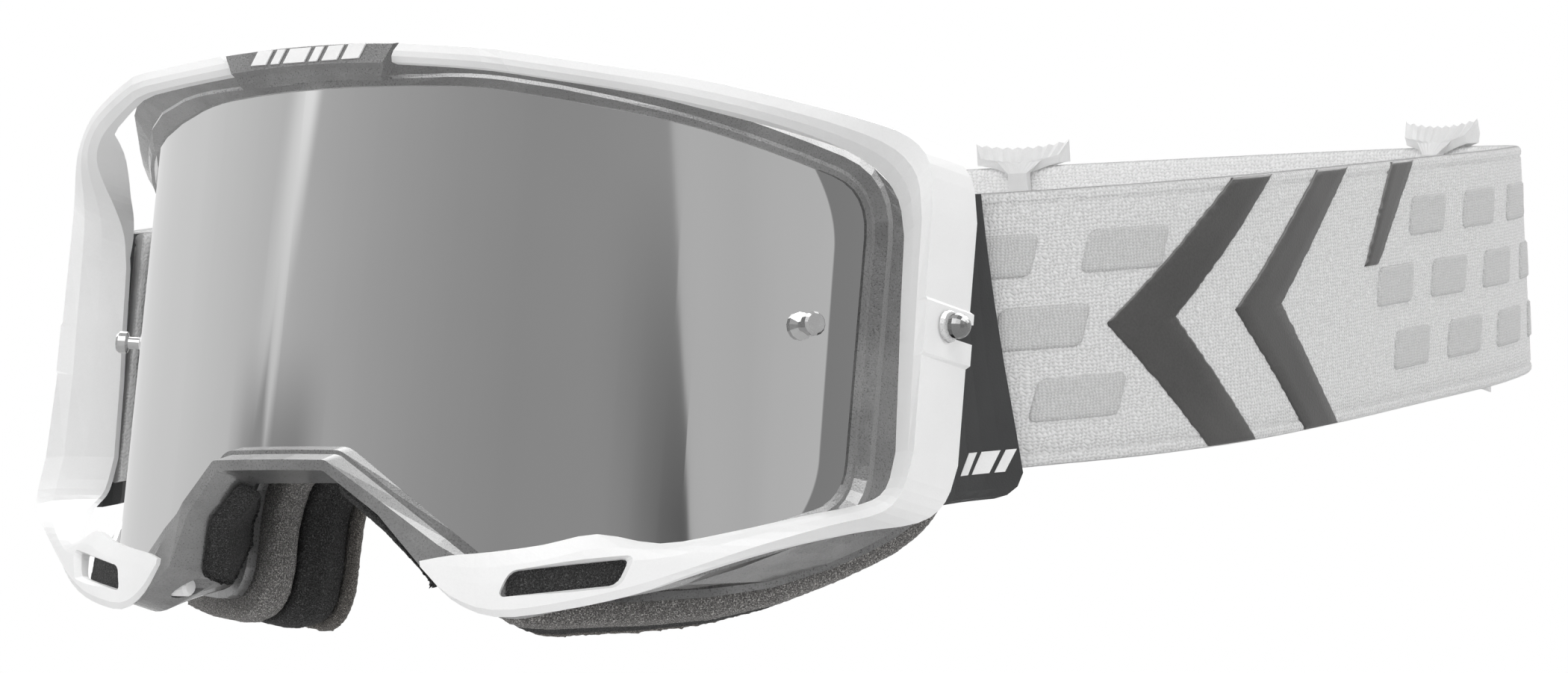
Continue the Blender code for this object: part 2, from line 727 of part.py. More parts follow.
def outrigger_front(width, height):
    """Depth of the outrigger's outer surface, brow plan blending into cheek plan."""
    def plan(corner, front, bulge):
        along = min(max((width - corner) / (OUTRIGGER_HALF_WIDTH - corner), 0.0), 1.0)
        return -front + (front - TEMPLE_FRONT) * along - 4 * bulge * along * (1 - along)

    share = min(max((BROW_LEVEL - height) / (BROW_LEVEL + CHEEK_LEVEL), 0.0), 1.0)
    share = share * share * (3 - 2 * share)
    brow = plan(BROW_CORNER, BROW_FRONT, BROW_BULGE)
    cheek = plan(CHEEK_CORNER, CHEEK_FRONT, CHEEK_BULGE)
    return brow + (cheek - brow) * share


# How each point of a section moves at the temple, so that the bar gets a ridge and a side flank
FLANK_SHIFTS = np.array([
    (-0.0040 - FLANK_WALL, 0.0064), (-0.0047, 0.0079), (-0.0038, -0.0038), (-0.0005, 0.0004),
    (0.0005, 0.0022), (0.0005, 0.0024), (0.0005, 0.0016), (-0.0005, -0.0014),
])


def cheek_swell(width, height):
    """Shift by which the cheek stands out in front of the plan."""
    near = min(max((width - CHEEK_SWELL_START) / CHEEK_SWELL_RUN, 0.0), 1.0)
    low = min(max((-CHEEK_SWELL_TOP - height) / CHEEK_SWELL_RUN, 0.0), 1.0)
    share = near * near * (3 - 2 * near) * low * low * (3 - 2 * low)
    return np.array((0.48, -0.86, 0.0)) * CHEEK_SWELL * share


def outrigger_section(outer, inner, rounding, stout, raise_tab):
    """Cross section of an outrigger on the right side, from its outer back edge round the front."""
    def at(share, recess):
        width = outer[0] + (inner[0] - outer[0]) * share
        height = outer[1] + (inner[1] - outer[1]) * share
        place = np.array((width, outrigger_front(width, height) + recess, height))
        return place + cheek_swell(width, height)

    proud = np.array((1.0, 0.0, 0.0)) * raise_tab
    wall = OUTRIGGER_THIN + (OUTRIGGER_WALL - OUTRIGGER_THIN) * stout
    inner_recess = INNER_CHAMFER * stout + TEMPLE_ROUNDING * rounding
    section = np.array([
        at(0.04, wall),
        at(0.0, OUTRIGGER_EDGE) + proud,
        at(0.10, 0.0) + proud * 0.4,
        at(0.50, 0.28 * TEMPLE_ROUNDING * rounding),
        at(0.76, OUTRIGGER_EDGE * stout + 0.60 * TEMPLE_ROUNDING * rounding),
        at(1.0, inner_recess),
        at(1.0, inner_recess + OUTRIGGER_THIN * (1 + stout)),
        at(0.52, wall + OUTRIGGER_EDGE / 2 * stout + 0.30 * TEMPLE_ROUNDING * rounding),
    ])
    section[:, :2] += FLANK_SHIFTS * rounding
    near = max(0.0, 1 - ((inner[0] - SHOULDER_WIDTH) / SHOULDER_RUN) ** 2)
    high = min(max((inner[1] - SHOULDER_LEVEL) / SHOULDER_RUN, 0.0), 0.5) * 2
    section[6, 1] += SHOULDER_DEPTH * near * high
    return section


def outrigger_sections():
    """All cross sections of the right-hand outrigger."""
    def sized(row):
        high = OUTRIGGER_TOP if row[1] > 0 else OUTRIGGER_BOTTOM
        low = OUTRIGGER_TOP if row[3] > 0 else OUTRIGGER_BOTTOM
        wide = OUTRIGGER_HALF_WIDTH
        return (row[0] * wide, row[1] * high, row[2] * wide, row[3] * low, *row[4:])

    arm = smooth_curve([sized(row) for row in ARM_STATIONS], 3)
    cheek = smooth_curve([sized(row) for row in CHEEK_STATIONS], 3)
    step = TAB_STEP
    levels = (TAB_HALF_HEIGHT + step, TAB_HALF_HEIGHT, -TAB_HALF_HEIGHT, -TAB_HALF_HEIGHT - step)
    bar = []
    for level in levels:
        along = (arm[-1][1] - level) / (arm[-1][1] - cheek[0][1])
        row = arm[-1] + (cheek[0] - arm[-1]) * along
        row[3] = level
        bar.append(row)
    sections = []
    for row in [*arm, *bar, *cheek]:
        raised = TAB_RAISE if abs(row[1]) <= TAB_HALF_HEIGHT + step / 2 else 0.0
        sections.append(outrigger_section(row[:2], row[2:4], row[4], row[5], raised))
    return np.array(sections)


def temple_pin(sections):
    """Seat of the temple pin on the right-hand outrigger, and the directions there."""
    level = int(np.argmin(np.abs(sections[:, 1, 2] - TAB_HALF_HEIGHT)))
    edge = (sections[level, 1] + sections[level + 1, 1]) / 2
    ridge = (sections[level, 2] + sections[level + 1, 2]) / 2
    along = edge - ridge
    along[2] = 0.0
    along = along / np.linalg.norm(along)
    out = np.array((along[1], -along[0], 0.0))
    seat = edge + (ridge - edge) * PIN_SHARE + np.array((0.0, 0.0, PIN_RISE))
    return seat, along, out


def slot_frame():
    """Middle of the right-hand cheek slot, with the directions along, across and out of it."""
    width = SLOT_CENTRE
    span = 0.002
    before = np.array((width - span, outrigger_front(width - span, -SLOT_HEIGHT), 0.0))
    after = np.array((width + span, outrigger_front(width + span, -SLOT_HEIGHT), 0.0))
    flat = (after - before) / np.linalg.norm(after - before)
    out = np.array((flat[1], -flat[0], 0.0))
    along = flat * math.cos(SLOT_SLOPE) + np.array((0.0, 0.0, math.sin(SLOT_SLOPE)))
    across = np.cross(out, along)
    centre = np.array((width, outrigger_front(width, -SLOT_HEIGHT), -SLOT_HEIGHT))
    return centre + cheek_swell(width, -SLOT_HEIGHT), along, across, out


def slot_sections(side):
    """Chamfered cheek slot: a wide mouth that narrows to the slot."""
    centre, along, across, out = slot_frame()
    sections = []
    mouth = ((SLOT_MOUTH, SLOT_RECESS * 1.9), (-SLOT_CORNER, SLOT_CORNER / 3), (-SLOT_REACH, 0.0))
    for lift, grow in mouth:
        section = []
        for quarter in range(4):
            sign_long = 1 if quarter in (0, 3) else -1
            sign_wide = 1 if quarter in (0, 1) else -1
            for step in range(4):
                angle = math.pi / 2 * (quarter + step / 3)
                long = sign_long * (SLOT_LENGTH / 2 - SLOT_CORNER + grow) + SLOT_CORNER * math.cos(angle)
                wide = sign_wide * (SLOT_WIDTH / 2 - SLOT_CORNER + grow * 0.5) + SLOT_CORNER * math.sin(angle)
                slant = 0.6 * wide
                section.append(centre + out * lift + along * (long + slant) + across * wide)
        sections.append(section)
    return np.array(sections) * (side, 1.0, 1.0)


def build_outriggers(sections):
    """Left and right outriggers with cheek slot and pin notch."""
    seat, along, out = temple_pin(sections)
    for side, word in SIDES:
        flip = np.array((side, 1.0, 1.0))
        piece = sweep("outrigger_" + word, sections * flip, PAINTS["white"])
        cut(piece, add_cutter("slot_" + word, slot_sections(side)))
        notch = []
        for lift in (NOTCH_MOUTH, -NOTCH_REACH):
            ring = []
            for step in range(9):
                angle = math.pi / 2 + math.pi * step / 8
                round_part = along * math.cos(angle) + np.array((0.0, 0.0, math.sin(angle)))
                ring.append(seat + out * lift + NOTCH_RADIUS * round_part)
            for sign in (-1, 1):
                edge = np.array((0.0, 0.0, sign * NOTCH_RADIUS))
                ring.append(seat + out * lift + along * NOTCH_RUN + edge)
            notch.append(ring)
        cut(piece, add_cutter("notch_" + word, np.array(notch) * flip))


def build_pegs():
    """Push pegs that hold the cheek ends of the outriggers to the frame."""
    for side, word in SIDES:
        inner, axis = peg_place(side)
        profile = [
            (PEG_RADIUS * 0.75, 0.0),
            (PEG_RADIUS, PEG_RADIUS * 0.375),
            (PEG_RADIUS, PEG_LENGTH - PEG_RADIUS * 0.25),
            (PEG_RADIUS * 0.8, PEG_LENGTH),
        ]
        turned("cheek_peg_" + word, profile, inner, axis, PAINTS["white"])


class Strap:
    """The strap's middle line and the frame of directions along it."""

    def __init__(self, pin):
        wide = STRAP_HALF_SPAN
        far = STRAP_REACH
        root = OUTRIGGER_HALF_WIDTH - STRAP_ROOT_INSET
        flare = [
            (0.0, 0.0410), (0.010, 0.0564), (0.082, 0.0788), (0.286, 0.1083), (0.483, 0.1435),
            (0.673, 0.1951), (0.841, 0.277), (0.931, 0.404), (0.969, 0.553), (1.0, 0.702),
        ]
        back = [
            (0.976, 0.809), (0.924, 0.866), (0.852, 0.902), (0.788, 0.922), (0.724, 0.942),
            (0.660, 0.962), (0.482, 0.989), (0.270, 1.000), (0.130, 1.000),
        ]
        right = [(root + (wide - root) * x, v * far) for x, v in flare]
        right = right + [(wide * x, v * far) for x, v in back]
        left = [(-x, v) for x, v in reversed(right)]
        self.rise = np.array((0.0, math.cos(STRAP_RISE), math.sin(STRAP_RISE)))
        self.across = np.array((0.0, -math.sin(STRAP_RISE), math.cos(STRAP_RISE)))
        self.start = np.array((0.0, -STRAP_FRONT, pin[2] - STRAP_DROP))
        flat = smooth_curve(right + left, STRAP_STEPS)
        self.points = self.start + flat[:, :1] * np.array((1.0, 0.0, 0.0)) + flat[:, 1:] * self.rise
        self.ways = np.gradient(self.points, axis=0)
        steps = np.linalg.norm(np.diff(self.points, axis=0), axis=1)
        self.lengths = np.concatenate([[0.0], np.cumsum(steps)])

    def frame(self, along, side=1):
        """Place, direction and outward direction at a length from the right or left end."""
        total = self.lengths[-1]
        spot = along if side > 0 else total - along
        inside = min(max(spot, 0.0), total)
        place = np.array([np.interp(inside, self.lengths, self.points[:, k]) for k in range(3)])
        way = np.array([np.interp(inside, self.lengths, self.ways[:, k]) for k in range(3)])
        way = way / np.linalg.norm(way)
        out = np.cross(way, self.across)
        return place + way * (spot - inside), way, out / np.linalg.norm(out)

    def upright(self, length, level):
        """Step across the strap to a level; the two ends stand upright behind the temple bars."""
        near = min(length, self.lengths[-1] - length)
        fade = min(max(1 - near / END_FADE, 0.0), 1.0)
        return (self.across + self.rise * math.tan(STRAP_RISE) * fade) * level

    def length_at(self, width):
        """Length from the right end to the place at a width, on the back of the loop."""
        rear = self.points[:, 1] > 0.8 * STRAP_REACH
        widths = self.points[rear, 0][::-1]
        return float(np.interp(width, widths, self.lengths[rear][::-1]))


def build_strap(strap, pivot):
    """The elastic band, one piece from temple to temple."""
    half = STRAP_WIDTH / 2
    thick = STRAP_THICKNESS / 2
    corner = STRAP_THICKNESS * 0.36
    profile = [
        (half - corner, thick), (half, thick - corner), (half, corner - thick), (half - corner, -thick),
        (corner - half, -thick), (-half, corner - thick), (-half, thick - corner), (corner - half, thick),
    ]
    sections = []
    for length in strap.lengths:
        place, way, out = strap.frame(length)
        section = []
        for a, b in profile:
            section.append(place + strap.upright(length, a) + out * b)
        sections.append(section)
    sweep("head_strap", sections, PAINTS["strap"], False, pivot.location, pivot)


def plate_grid(strap, side, levels, ends, lift, begin):
    """Rows of points on a sheet that follows the strap at a lift."""
    rows = []
    for level, end in zip(levels, ends):
        row = []
        for share in np.linspace(0, 1, 8):
            front = begin + PLATE_SETBACK * abs(level) / STRAP_WIDTH
            front = front + abs(level) * math.tan(STRAP_SWING)
            length = front + (end - front) * share
            place, way, out = strap.frame(length, side)
            row.append(place + strap.upright(length, level) + out * lift)
        rows.append(row)
    return np.array(rows)


def build_strap_ends(strap, pivot):
    """Outer plates and inner backings that clamp the strap ends."""
    half = STRAP_WIDTH / 2
    outer_lift = STRAP_THICKNESS / 2 + CLEARANCE
    low = half + PLATE_DROP
    below_middle = low * np.array((-1.0, -0.985, -0.94, -0.86, -0.6, -0.2))
    above_middle = half * np.array((0.2, 0.6, 0.9, 1.0))
    levels = np.concatenate([below_middle, above_middle])
    ends = []
    for level in levels:
        share = (half - level) / STRAP_WIDTH
        end = PLATE_TOP_LENGTH + (PLATE_BOTTOM_LENGTH - PLATE_TOP_LENGTH) * share
        below = max(0.0, PLATE_CORNER - (level + low)) / PLATE_CORNER
        ends.append(end - PLATE_CORNER * (1 - math.sqrt(max(0.0, 1 - below ** 2))))
    inside = half * np.array((-0.86, -0.8, -0.62, -0.35, 0.0, 0.35, 0.62, 0.8, 0.86))
    round_ends = []
    for level in inside:
        bow = 0.35 + 0.65 * math.sqrt(1 - (level / half / 0.87) ** 2)
        round_ends.append(BACKING_LENGTH * bow + max(level, 0.0) * math.tan(STRAP_RISE) * 1.4)
    for side, word in SIDES:
        front = plate_grid(strap, side, levels, ends, outer_lift + PLATE_THICKNESS, PLATE_START)
        back = plate_grid(strap, side, levels, ends, outer_lift, PLATE_START)
        slab("strap_plate_" + word, front, back, PAINTS["plate"], pivot.location, pivot)
        inner_lift = -outer_lift - CLEARANCE
        front = plate_grid(strap, side, inside, round_ends, inner_lift, BACKING_START)
        back = plate_grid(strap, side, inside, round_ends, inner_lift - BACKING_THICKNESS, BACKING_START)
        slab("strap_backing_" + word, front, back, PAINTS["plate"], pivot.location, pivot)


def build_pins(seat, out, strap, pivot):
    """Ball pins that reach from the strap plates out through the outrigger notches."""
    ball = seat + out * PIN_STAND_OFF
    place, way, normal = strap.frame(0.0)
    plate = place + normal * (STRAP_THICKNESS / 2 + 2 * CLEARANCE + PLATE_THICKNESS)
    stem = ((ball - plate) @ normal) / (out @ normal)
    profile = [(PIN_STEM_RADIUS, -stem), (PIN_STEM_RADIUS, -PIN_BALL_RADIUS * PIN_NECK)]
    for degrees in (-22, 0, 20, 40, 60, 76):
        angle = math.radians(degrees)
        profile.append((PIN_BALL_RADIUS * math.cos(angle), PIN_BALL_RADIUS * math.sin(angle)))
    low = -PIN_BALL_RADIUS * PIN_NECK - CLEARANCE
    bore = PIN_STEM_RADIUS + CLEARANCE
    washer = [
        (bore, low), (COLLAR_RADIUS * 0.9, low), (COLLAR_RADIUS, low - COLLAR_THICKNESS * 0.4),
        (COLLAR_RADIUS, low - COLLAR_THICKNESS), (bore, low - COLLAR_THICKNESS),
    ]
    for side, word in SIDES:
        flip = np.array((side, 1.0, 1.0))
        turned("temple_pin_" + word, profile, ball * flip, out * flip, PAINTS["pin"], pivot.location, pivot)
        turned_ring("pin_collar_" + word, washer, ball * flip, out * flip, PAINTS["post"],
                    pivot.location, pivot)


def build_slider(name, strap, length):
    """A moulded slider: two gripped heads joined by bars inside and outside the strap."""
    place, way, out = strap.frame(length)
    half_high = STRAP_WIDTH / 2 + CLEARANCE * 2
    half_deep = STRAP_THICKNESS / 2 + CLEARANCE * 2
    head = SLIDER_HEAD_HEIGHT
    wall = SLIDER_WALL
    stations = [
        (half_high - 0.002, half_deep, 0.0, wall, 0.0), (half_high - 0.001, half_deep, 0.35, wall, 0.3),
        (half_high, half_deep * 0.9, 0.8, wall, 0.9), (half_high, 0.0, 1.0, head, 1.0),
        (half_high, -half_deep * 0.9, 0.8, wall, 0.9), (half_high - 0.001, -half_deep, 0.35, wall, 0.3),
        (half_high - 0.002, -half_deep, 0.0, wall, 0.0), (0.0, -half_deep, 0.0, wall, 0.0),
    ]
    stations = stations + [(-high, -deep, wide, tall, 0.0) for high, deep, wide, tall, grip in stations]
    columns = np.linspace(-1, 1, 2 * SLIDER_TEETH + 1)
    sections = []
    for high, deep, wide, tall, grip in stations:
        half_wide = (SLIDER_BAR_WIDTH + (SLIDER_HEAD_WIDTH - SLIDER_BAR_WIDTH) * wide) / 2
        direction = np.array((high, deep * 4))
        if abs(high) < half_high - 0.0015:
            direction = np.array((0.0, deep))
        direction = direction / np.linalg.norm(direction)
        section = []
        for share in (-1.0, 1.0):
            section.append(place + way * half_wide * share + strap.across * high + out * deep)
        for index, share in enumerate(columns[::-1]):
            tooth = SLIDER_TOOTH * (index % 2) * grip
            rise = tall - SLIDER_HOLLOW * (1 - share ** 2) * wide - tooth
            step = direction * rise
            section.append(place + way * half_wide * share + strap.across * (high + step[0])
                           + out * (deep + step[1]))
        sections.append(section)
    sweep(name, sections, PAINTS["slider"], True, tuple(place))
    return place, way


def main():
    clear_scene()
    PAINTS.update({
        "frame": material("frame_smoke_grey", (0.20, 0.20, 0.20), 0.45),
        "mirror": material("lens_silver", (0.62, 0.62, 0.62), 0.06, 1.0),
        "white": material("outrigger_white", (0.88, 0.88, 0.88), 0.35),
        "post": material("post_clear", (0.75, 0.75, 0.75), 0.12, 0.6),
        "pin": material("pin_dark_chrome", (0.30, 0.30, 0.30), 0.18, 1.0),
        "plate": material("plate_charcoal", (0.05, 0.05, 0.052), 0.5),
        "strap": material("strap_pale_grey", (0.66, 0.66, 0.66), 0.9),
        "slider": material("slider_pale", (0.84, 0.84, 0.84), 0.4),
        "foam_base": material("foam_olive_grey", (0.12, 0.12, 0.10), 0.95),
        "foam_middle": material("foam_black", (0.015, 0.015, 0.015), 0.95),
        "foam_fleece": material("fleece_brown_grey", (0.06, 0.055, 0.045), 0.95),
        "filter": material("vent_foam_black", (0.02, 0.02, 0.02), 0.95),
        "tool": material("tool", (1.0, 0.2, 0.1), 0.5),
    })
    rails = frame_rails()
    build_frame(rails)
    build_lens()
    build_lens_posts()
    build_foam()
    build_filters(rails)
    build_bridge()
    sections = outrigger_sections()
    build_outriggers(sections)
    build_pegs()
    seat, along, out = temple_pin(sections)
    ball = seat + out * PIN_STAND_OFF
    pivot = add_pivot("strap_pivot", (0.0, ball[1], ball[2]))
    strap = Strap(ball)
    build_strap(strap, pivot)
    build_strap_ends(strap, pivot)
    build_pins(seat, out, strap, pivot)
    rear = build_slider("rear_slider", strap, strap.length_at(REAR_SLIDER_AT))
    side = build_slider("side_slider", strap, strap.length_at(STRAP_HALF_SPAN * SIDE_SLIDER_SHARE))
    print("pin axis", np.round(ball, 5), "pin direction", np.round(out, 4))
    print("strap length", round(float(strap.lengths[-1]), 4))
    for word, (place, way) in (("rear slider", rear), ("side slider", side)):
        print(word, np.round(place, 5), "slides along", np.round(way, 5))


SIDES = ((1, "left"), (-1, "right"))
PAINTS = {}

main()
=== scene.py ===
# %% [markdown]
# # Off-road goggles, from bare solids to a product picture
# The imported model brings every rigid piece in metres, at its real place. This script keeps those pieces,
# gives each one a finish, and makes the lens, the strap and the foam again with more detail.

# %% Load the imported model
import math

import bmesh
import bpy
import numpy as np
from mathutils import Matrix, Vector, noise


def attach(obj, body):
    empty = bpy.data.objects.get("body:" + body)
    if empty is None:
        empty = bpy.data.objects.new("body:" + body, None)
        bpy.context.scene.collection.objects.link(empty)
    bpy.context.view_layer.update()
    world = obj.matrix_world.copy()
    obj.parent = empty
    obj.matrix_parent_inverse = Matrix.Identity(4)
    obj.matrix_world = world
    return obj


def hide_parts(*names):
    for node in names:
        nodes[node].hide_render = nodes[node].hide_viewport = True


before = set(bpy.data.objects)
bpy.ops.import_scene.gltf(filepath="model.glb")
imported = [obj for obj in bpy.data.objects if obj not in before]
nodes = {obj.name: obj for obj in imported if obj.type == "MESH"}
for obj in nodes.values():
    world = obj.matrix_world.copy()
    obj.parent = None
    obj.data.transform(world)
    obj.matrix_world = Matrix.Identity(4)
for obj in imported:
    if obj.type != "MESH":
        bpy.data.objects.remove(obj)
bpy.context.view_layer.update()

scene = bpy.context.scene
scene.view_settings.view_transform = "Standard"
print("pieces from the packed model:", len(nodes))

# %% [markdown]
# ## Camera
# The picture is taken from the wearer's left front, a little below the lens, with a long lens that keeps
# the shape calm. The place and the three directions were fitted to mirrored points of the frame. Giving
# Blender the directions as the columns of a matrix is more exact than turning the camera by angles.

# %% Camera at the photograph's viewpoint
CAMERA_PLACE = Vector((0.37341, -0.52035, -0.09977))
FOCAL_LENGTH = 85.71
SENSOR_WIDTH = 36.0
NEAREST_SEEN = 0.01
to_right = Vector((0.8577, 0.5089, 0.0733)).normalized()
backward = Vector((0.5137, -0.8422, -0.1637))
backward = (backward - to_right * backward.dot(to_right)).normalized()
upward = backward.cross(to_right)
camera_data = bpy.data.cameras.new("photo_camera")
camera_data.lens = FOCAL_LENGTH
camera_data.sensor_width = SENSOR_WIDTH
camera_data.sensor_fit = "HORIZONTAL"
camera_data.clip_start = NEAREST_SEEN
camera = bpy.data.objects.new("photo_camera", camera_data)
scene.collection.objects.link(camera)
camera.matrix_world = Matrix((to_right, upward, backward)).transposed().to_4x4()
camera.matrix_world.translation = CAMERA_PLACE
scene.camera = camera
print("camera is", round(CAMERA_PLACE.length, 3), "m from the middle of the face seal")

# %% [markdown]
# ## Node helpers
# Every finish below is a small tree of shader nodes. They could be wired by hand in the editor; a few
# helpers keep them readable as text. One adds a node with its settings and values, others calculate, carry
# a value from one range to another or mix two colours, and the last opens a node group: an effect with
# named inputs and outputs that several finishes share.

# %% Helpers for single nodes
def add_node(tree, kind, values=None, **settings):
    """A new node; values go to its inputs by name or number."""
    node = tree.nodes.new(kind)
    for key, value in settings.items():
        setattr(node, key, value)
    for key, value in (values or {}).items():
        node.inputs[key].default_value = value
    return node


def feed(tree, value, socket):
    """Give a socket a number, a colour or the output of another node."""
    if isinstance(value, (int, float, tuple)):
        socket.default_value = value
    else:
        tree.links.new(value, socket)


def calculate(tree, operation, *values):
    """A Math node; each value is a number or the socket to read."""
    node = add_node(tree, "ShaderNodeMath", operation=operation)
    for index, value in enumerate(values):
        feed(tree, value, node.inputs[index])
    return node.outputs[0]


def grey(value, warmth=0.0):
    """A grey as red, green, blue and alpha, a little warm or cool."""
    return (value * (1 + warmth), value, value * (1 - warmth), 1.0)


print("a mid grey is written", grey(0.5))


# %% Helpers for ranges, mixes and groups
def ramp(tree, value, low, high, start, end, shape="SMOOTHSTEP"):
    """A value carried from one range to another, held at the ends."""
    node = add_node(tree, "ShaderNodeMapRange", interpolation_type=shape)
    for index, given in enumerate((value, low, high, start, end)):
        feed(tree, given, node.inputs[index])
    return node.outputs[0]


def band(tree, value, rising, falling):
    """A mask that rises over one stretch of a value and falls over a later one."""
    rise = ramp(tree, value, *rising, 0, 1)
    return calculate(tree, "MULTIPLY", rise, ramp(tree, value, *falling, 1, 0))


def mix_colours(tree, share, first, second, blend="MIX"):
    """A colour made of two; each is a colour or a socket."""
    node = add_node(tree, "ShaderNodeMix", data_type="RGBA", blend_type=blend)
    for index, value in ((0, share), (6, first), (7, second)):
        feed(tree, value, node.inputs[index])
    return node.outputs[2]


def open_group(name, inputs, outputs):
    """A shader node group with its sockets, its input node and its output node."""
    group = bpy.data.node_groups.new(name, "ShaderNodeTree")
    for label, kind, value in inputs:
        socket = group.interface.new_socket(label, in_out="INPUT", socket_type="NodeSocket" + kind)
        socket.default_value = value
    for label, kind in outputs:
        group.interface.new_socket(label, in_out="OUTPUT", socket_type="NodeSocket" + kind)
    return group, add_node(group, "NodeGroupInput"), add_node(group, "NodeGroupOutput")


print("node helpers ready")

# %% [markdown]
# ## Studio
# The real picture is lit by large soft panels on white. Soft light from the world, stronger from below,
# gives the base. A few wide lamps and one narrow spot lift the faces that would stay too dark. The lens is
# a mirror, so what it shows is the studio itself: the world carries pale and grey panels round the horizon
# for reflected rays. Camera rays, and rays through clear plastic, see plain white.

# %% Directions in the studio
# both in degrees: the compass from the front, positive to the wearer's left, and the level above the horizon
world = bpy.data.worlds.new("studio")
scene.world = world
world.use_nodes = True
sky = world.node_tree
sky.nodes.clear()
direction = add_node(sky, "ShaderNodeSeparateXYZ")
sky.links.new(add_node(sky, "ShaderNodeTexCoord").outputs["Generated"], direction.inputs[0])
front = calculate(sky, "MULTIPLY", direction.outputs["Y"], -1.0)
compass = calculate(sky, "ARCTAN2", direction.outputs["X"], front)
compass = calculate(sky, "MULTIPLY", compass, math.degrees(1))
level = calculate(sky, "ARCSINE", direction.outputs["Z"])
level = calculate(sky, "MULTIPLY", level, math.degrees(1))
print("studio world:", world.name)

# %% Reflected panels round the horizon
HALF_TURN = 180
# compass angle and brightness
PANELS = (
    (-HALF_TURN, 0.75), (-119, 0.84), (-88, 0.87), (-69, 0.79), (-50, 0.69), (-42, 0.61), (-30, 0.55),
    (-19, 0.50), (1, 0.43), (20, 0.385), (39, 0.39), (59.2, 0.41), (60.6, 0.64), (66, 0.65), (78, 0.63),
    (88, 0.67), (99, 0.69), (140, 0.80), (HALF_TURN, 0.80),
)
# the edge of the left panel leans this far each way between two levels, near its own compass angle only
PANEL_LEAN = 21.0
LEAN_LEVELS = (0, 20)
LEAN_COMES = (25, 50)
LEAN_GOES = (75, 95)
panel_ramp = add_node(sky, "ShaderNodeValToRGB")
stops = panel_ramp.color_ramp.elements
stops[0].color = grey(PANELS[0][1])
stops[1].color = grey(PANELS[-1][1])
for angle, brightness in PANELS[1:-1]:
    stops.new((angle + HALF_TURN) / (2 * HALF_TURN)).color = grey(brightness)
edge_lean = calculate(sky, "MULTIPLY", band(sky, compass, LEAN_COMES, LEAN_GOES),
                      ramp(sky, level, *LEAN_LEVELS, -PANEL_LEAN, PANEL_LEAN, "LINEAR"))
leaning = calculate(sky, "ADD", compass, edge_lean)
sky.links.new(ramp(sky, leaning, -HALF_TURN, HALF_TURN, 0, 1, "LINEAR"), panel_ramp.inputs[0])
print("studio panels:", len(stops))

# %% A leaning streak
# its bright line passes one compass angle at one level, and leans by so many degrees for each degree up
STREAK_ANGLE = -47.0
STREAK_LEVEL = 10.3
STREAK_LEAN = 1.32
STREAK_RISES = (-9, 0)
STREAK_FALLS = (0, 4)
STREAK_LEVELS = (7.4, 12.5)
STREAK_LIGHT = 0.5
lean = calculate(sky, "MULTIPLY_ADD", level, STREAK_LEAN, STREAK_ANGLE - STREAK_LEAN * STREAK_LEVEL)
beside = calculate(sky, "SUBTRACT", compass, lean)
streak = calculate(sky, "MULTIPLY", band(sky, beside, STREAK_RISES, STREAK_FALLS),
                   ramp(sky, level, *STREAK_LEVELS, 0.0, STREAK_LIGHT, "LINEAR"))
print("streak at", STREAK_ANGLE, "degrees")

# %% Two low shades and a bright band overhead
EDGE_SHADE_RISES = (36, 59)
EDGE_SHADE_FALLS = (59.4, 60.4)
EDGE_SHADE_LEVELS = (6.5, 12.0)
EDGE_SHADE = 0.62
LOW_SHADE_RISES = (-64, -54)
LOW_SHADE_FALLS = (-40, -28)
LOW_SHADE_LEVELS = (6.8, 9.0)
LOW_SHADE = 0.45
OVERHEAD_RISES = (26, 36)
OVERHEAD_FALLS = (58, 72)
OVERHEAD = 3.4
edge_shade = calculate(sky, "MULTIPLY", band(sky, leaning, EDGE_SHADE_RISES, EDGE_SHADE_FALLS),
                       ramp(sky, level, *EDGE_SHADE_LEVELS, EDGE_SHADE, 0.0, "LINEAR"))
low_shade = calculate(sky, "MULTIPLY", band(sky, compass, LOW_SHADE_RISES, LOW_SHADE_FALLS),
                      ramp(sky, level, *LOW_SHADE_LEVELS, LOW_SHADE, 0.0))
kept = calculate(sky, "SUBTRACT", calculate(sky, "SUBTRACT", 1.0, edge_shade), low_shade)
panels = mix_colours(sky, 1.0, panel_ramp.outputs[0], kept, "MULTIPLY")
overhead = calculate(sky, "MULTIPLY", band(sky, level, OVERHEAD_RISES, OVERHEAD_FALLS), OVERHEAD)
lit_panels = mix_colours(sky, 1.0, panels, calculate(sky, "ADD", streak, overhead), "ADD")
print("overhead band is", OVERHEAD, "times white")


# %% What each kind of ray sees
AMBIENT_LOW = 1.25
AMBIENT_HIGH = 0.21
AMBIENT_LEVELS = (-10, 60)


def choose(share, first, second):
    """One of two backgrounds, by the kind of ray."""
    node = add_node(sky, "ShaderNodeMixShader")
    for index, source in enumerate((share, first, second)):
        sky.links.new(source, node.inputs[index])
    return node.outputs[0]


rays = add_node(sky, "ShaderNodeLightPath").outputs
white = add_node(sky, "ShaderNodeBackground", {"Color": grey(1.0), "Strength": 1.0})
soft = add_node(sky, "ShaderNodeBackground", {"Color": grey(1.0)})
sky.links.new(ramp(sky, level, *AMBIENT_LEVELS, AMBIENT_LOW, AMBIENT_HIGH), soft.inputs["Strength"])
mirrored = add_node(sky, "ShaderNodeBackground", {"Strength": 1.0})
sky.links.new(lit_panels, mirrored.inputs["Color"])
lit = choose(rays["Is Glossy Ray"], soft.outputs[0], mirrored.outputs[0])
seen = calculate(sky, "MAXIMUM", rays["Is Camera Ray"], rays["Is Transmission Ray"])
sky.links.new(choose(seen, lit, white.outputs[0]), add_node(sky, "ShaderNodeOutputWorld").inputs["Surface"])
print("studio nodes:", len(sky.nodes))

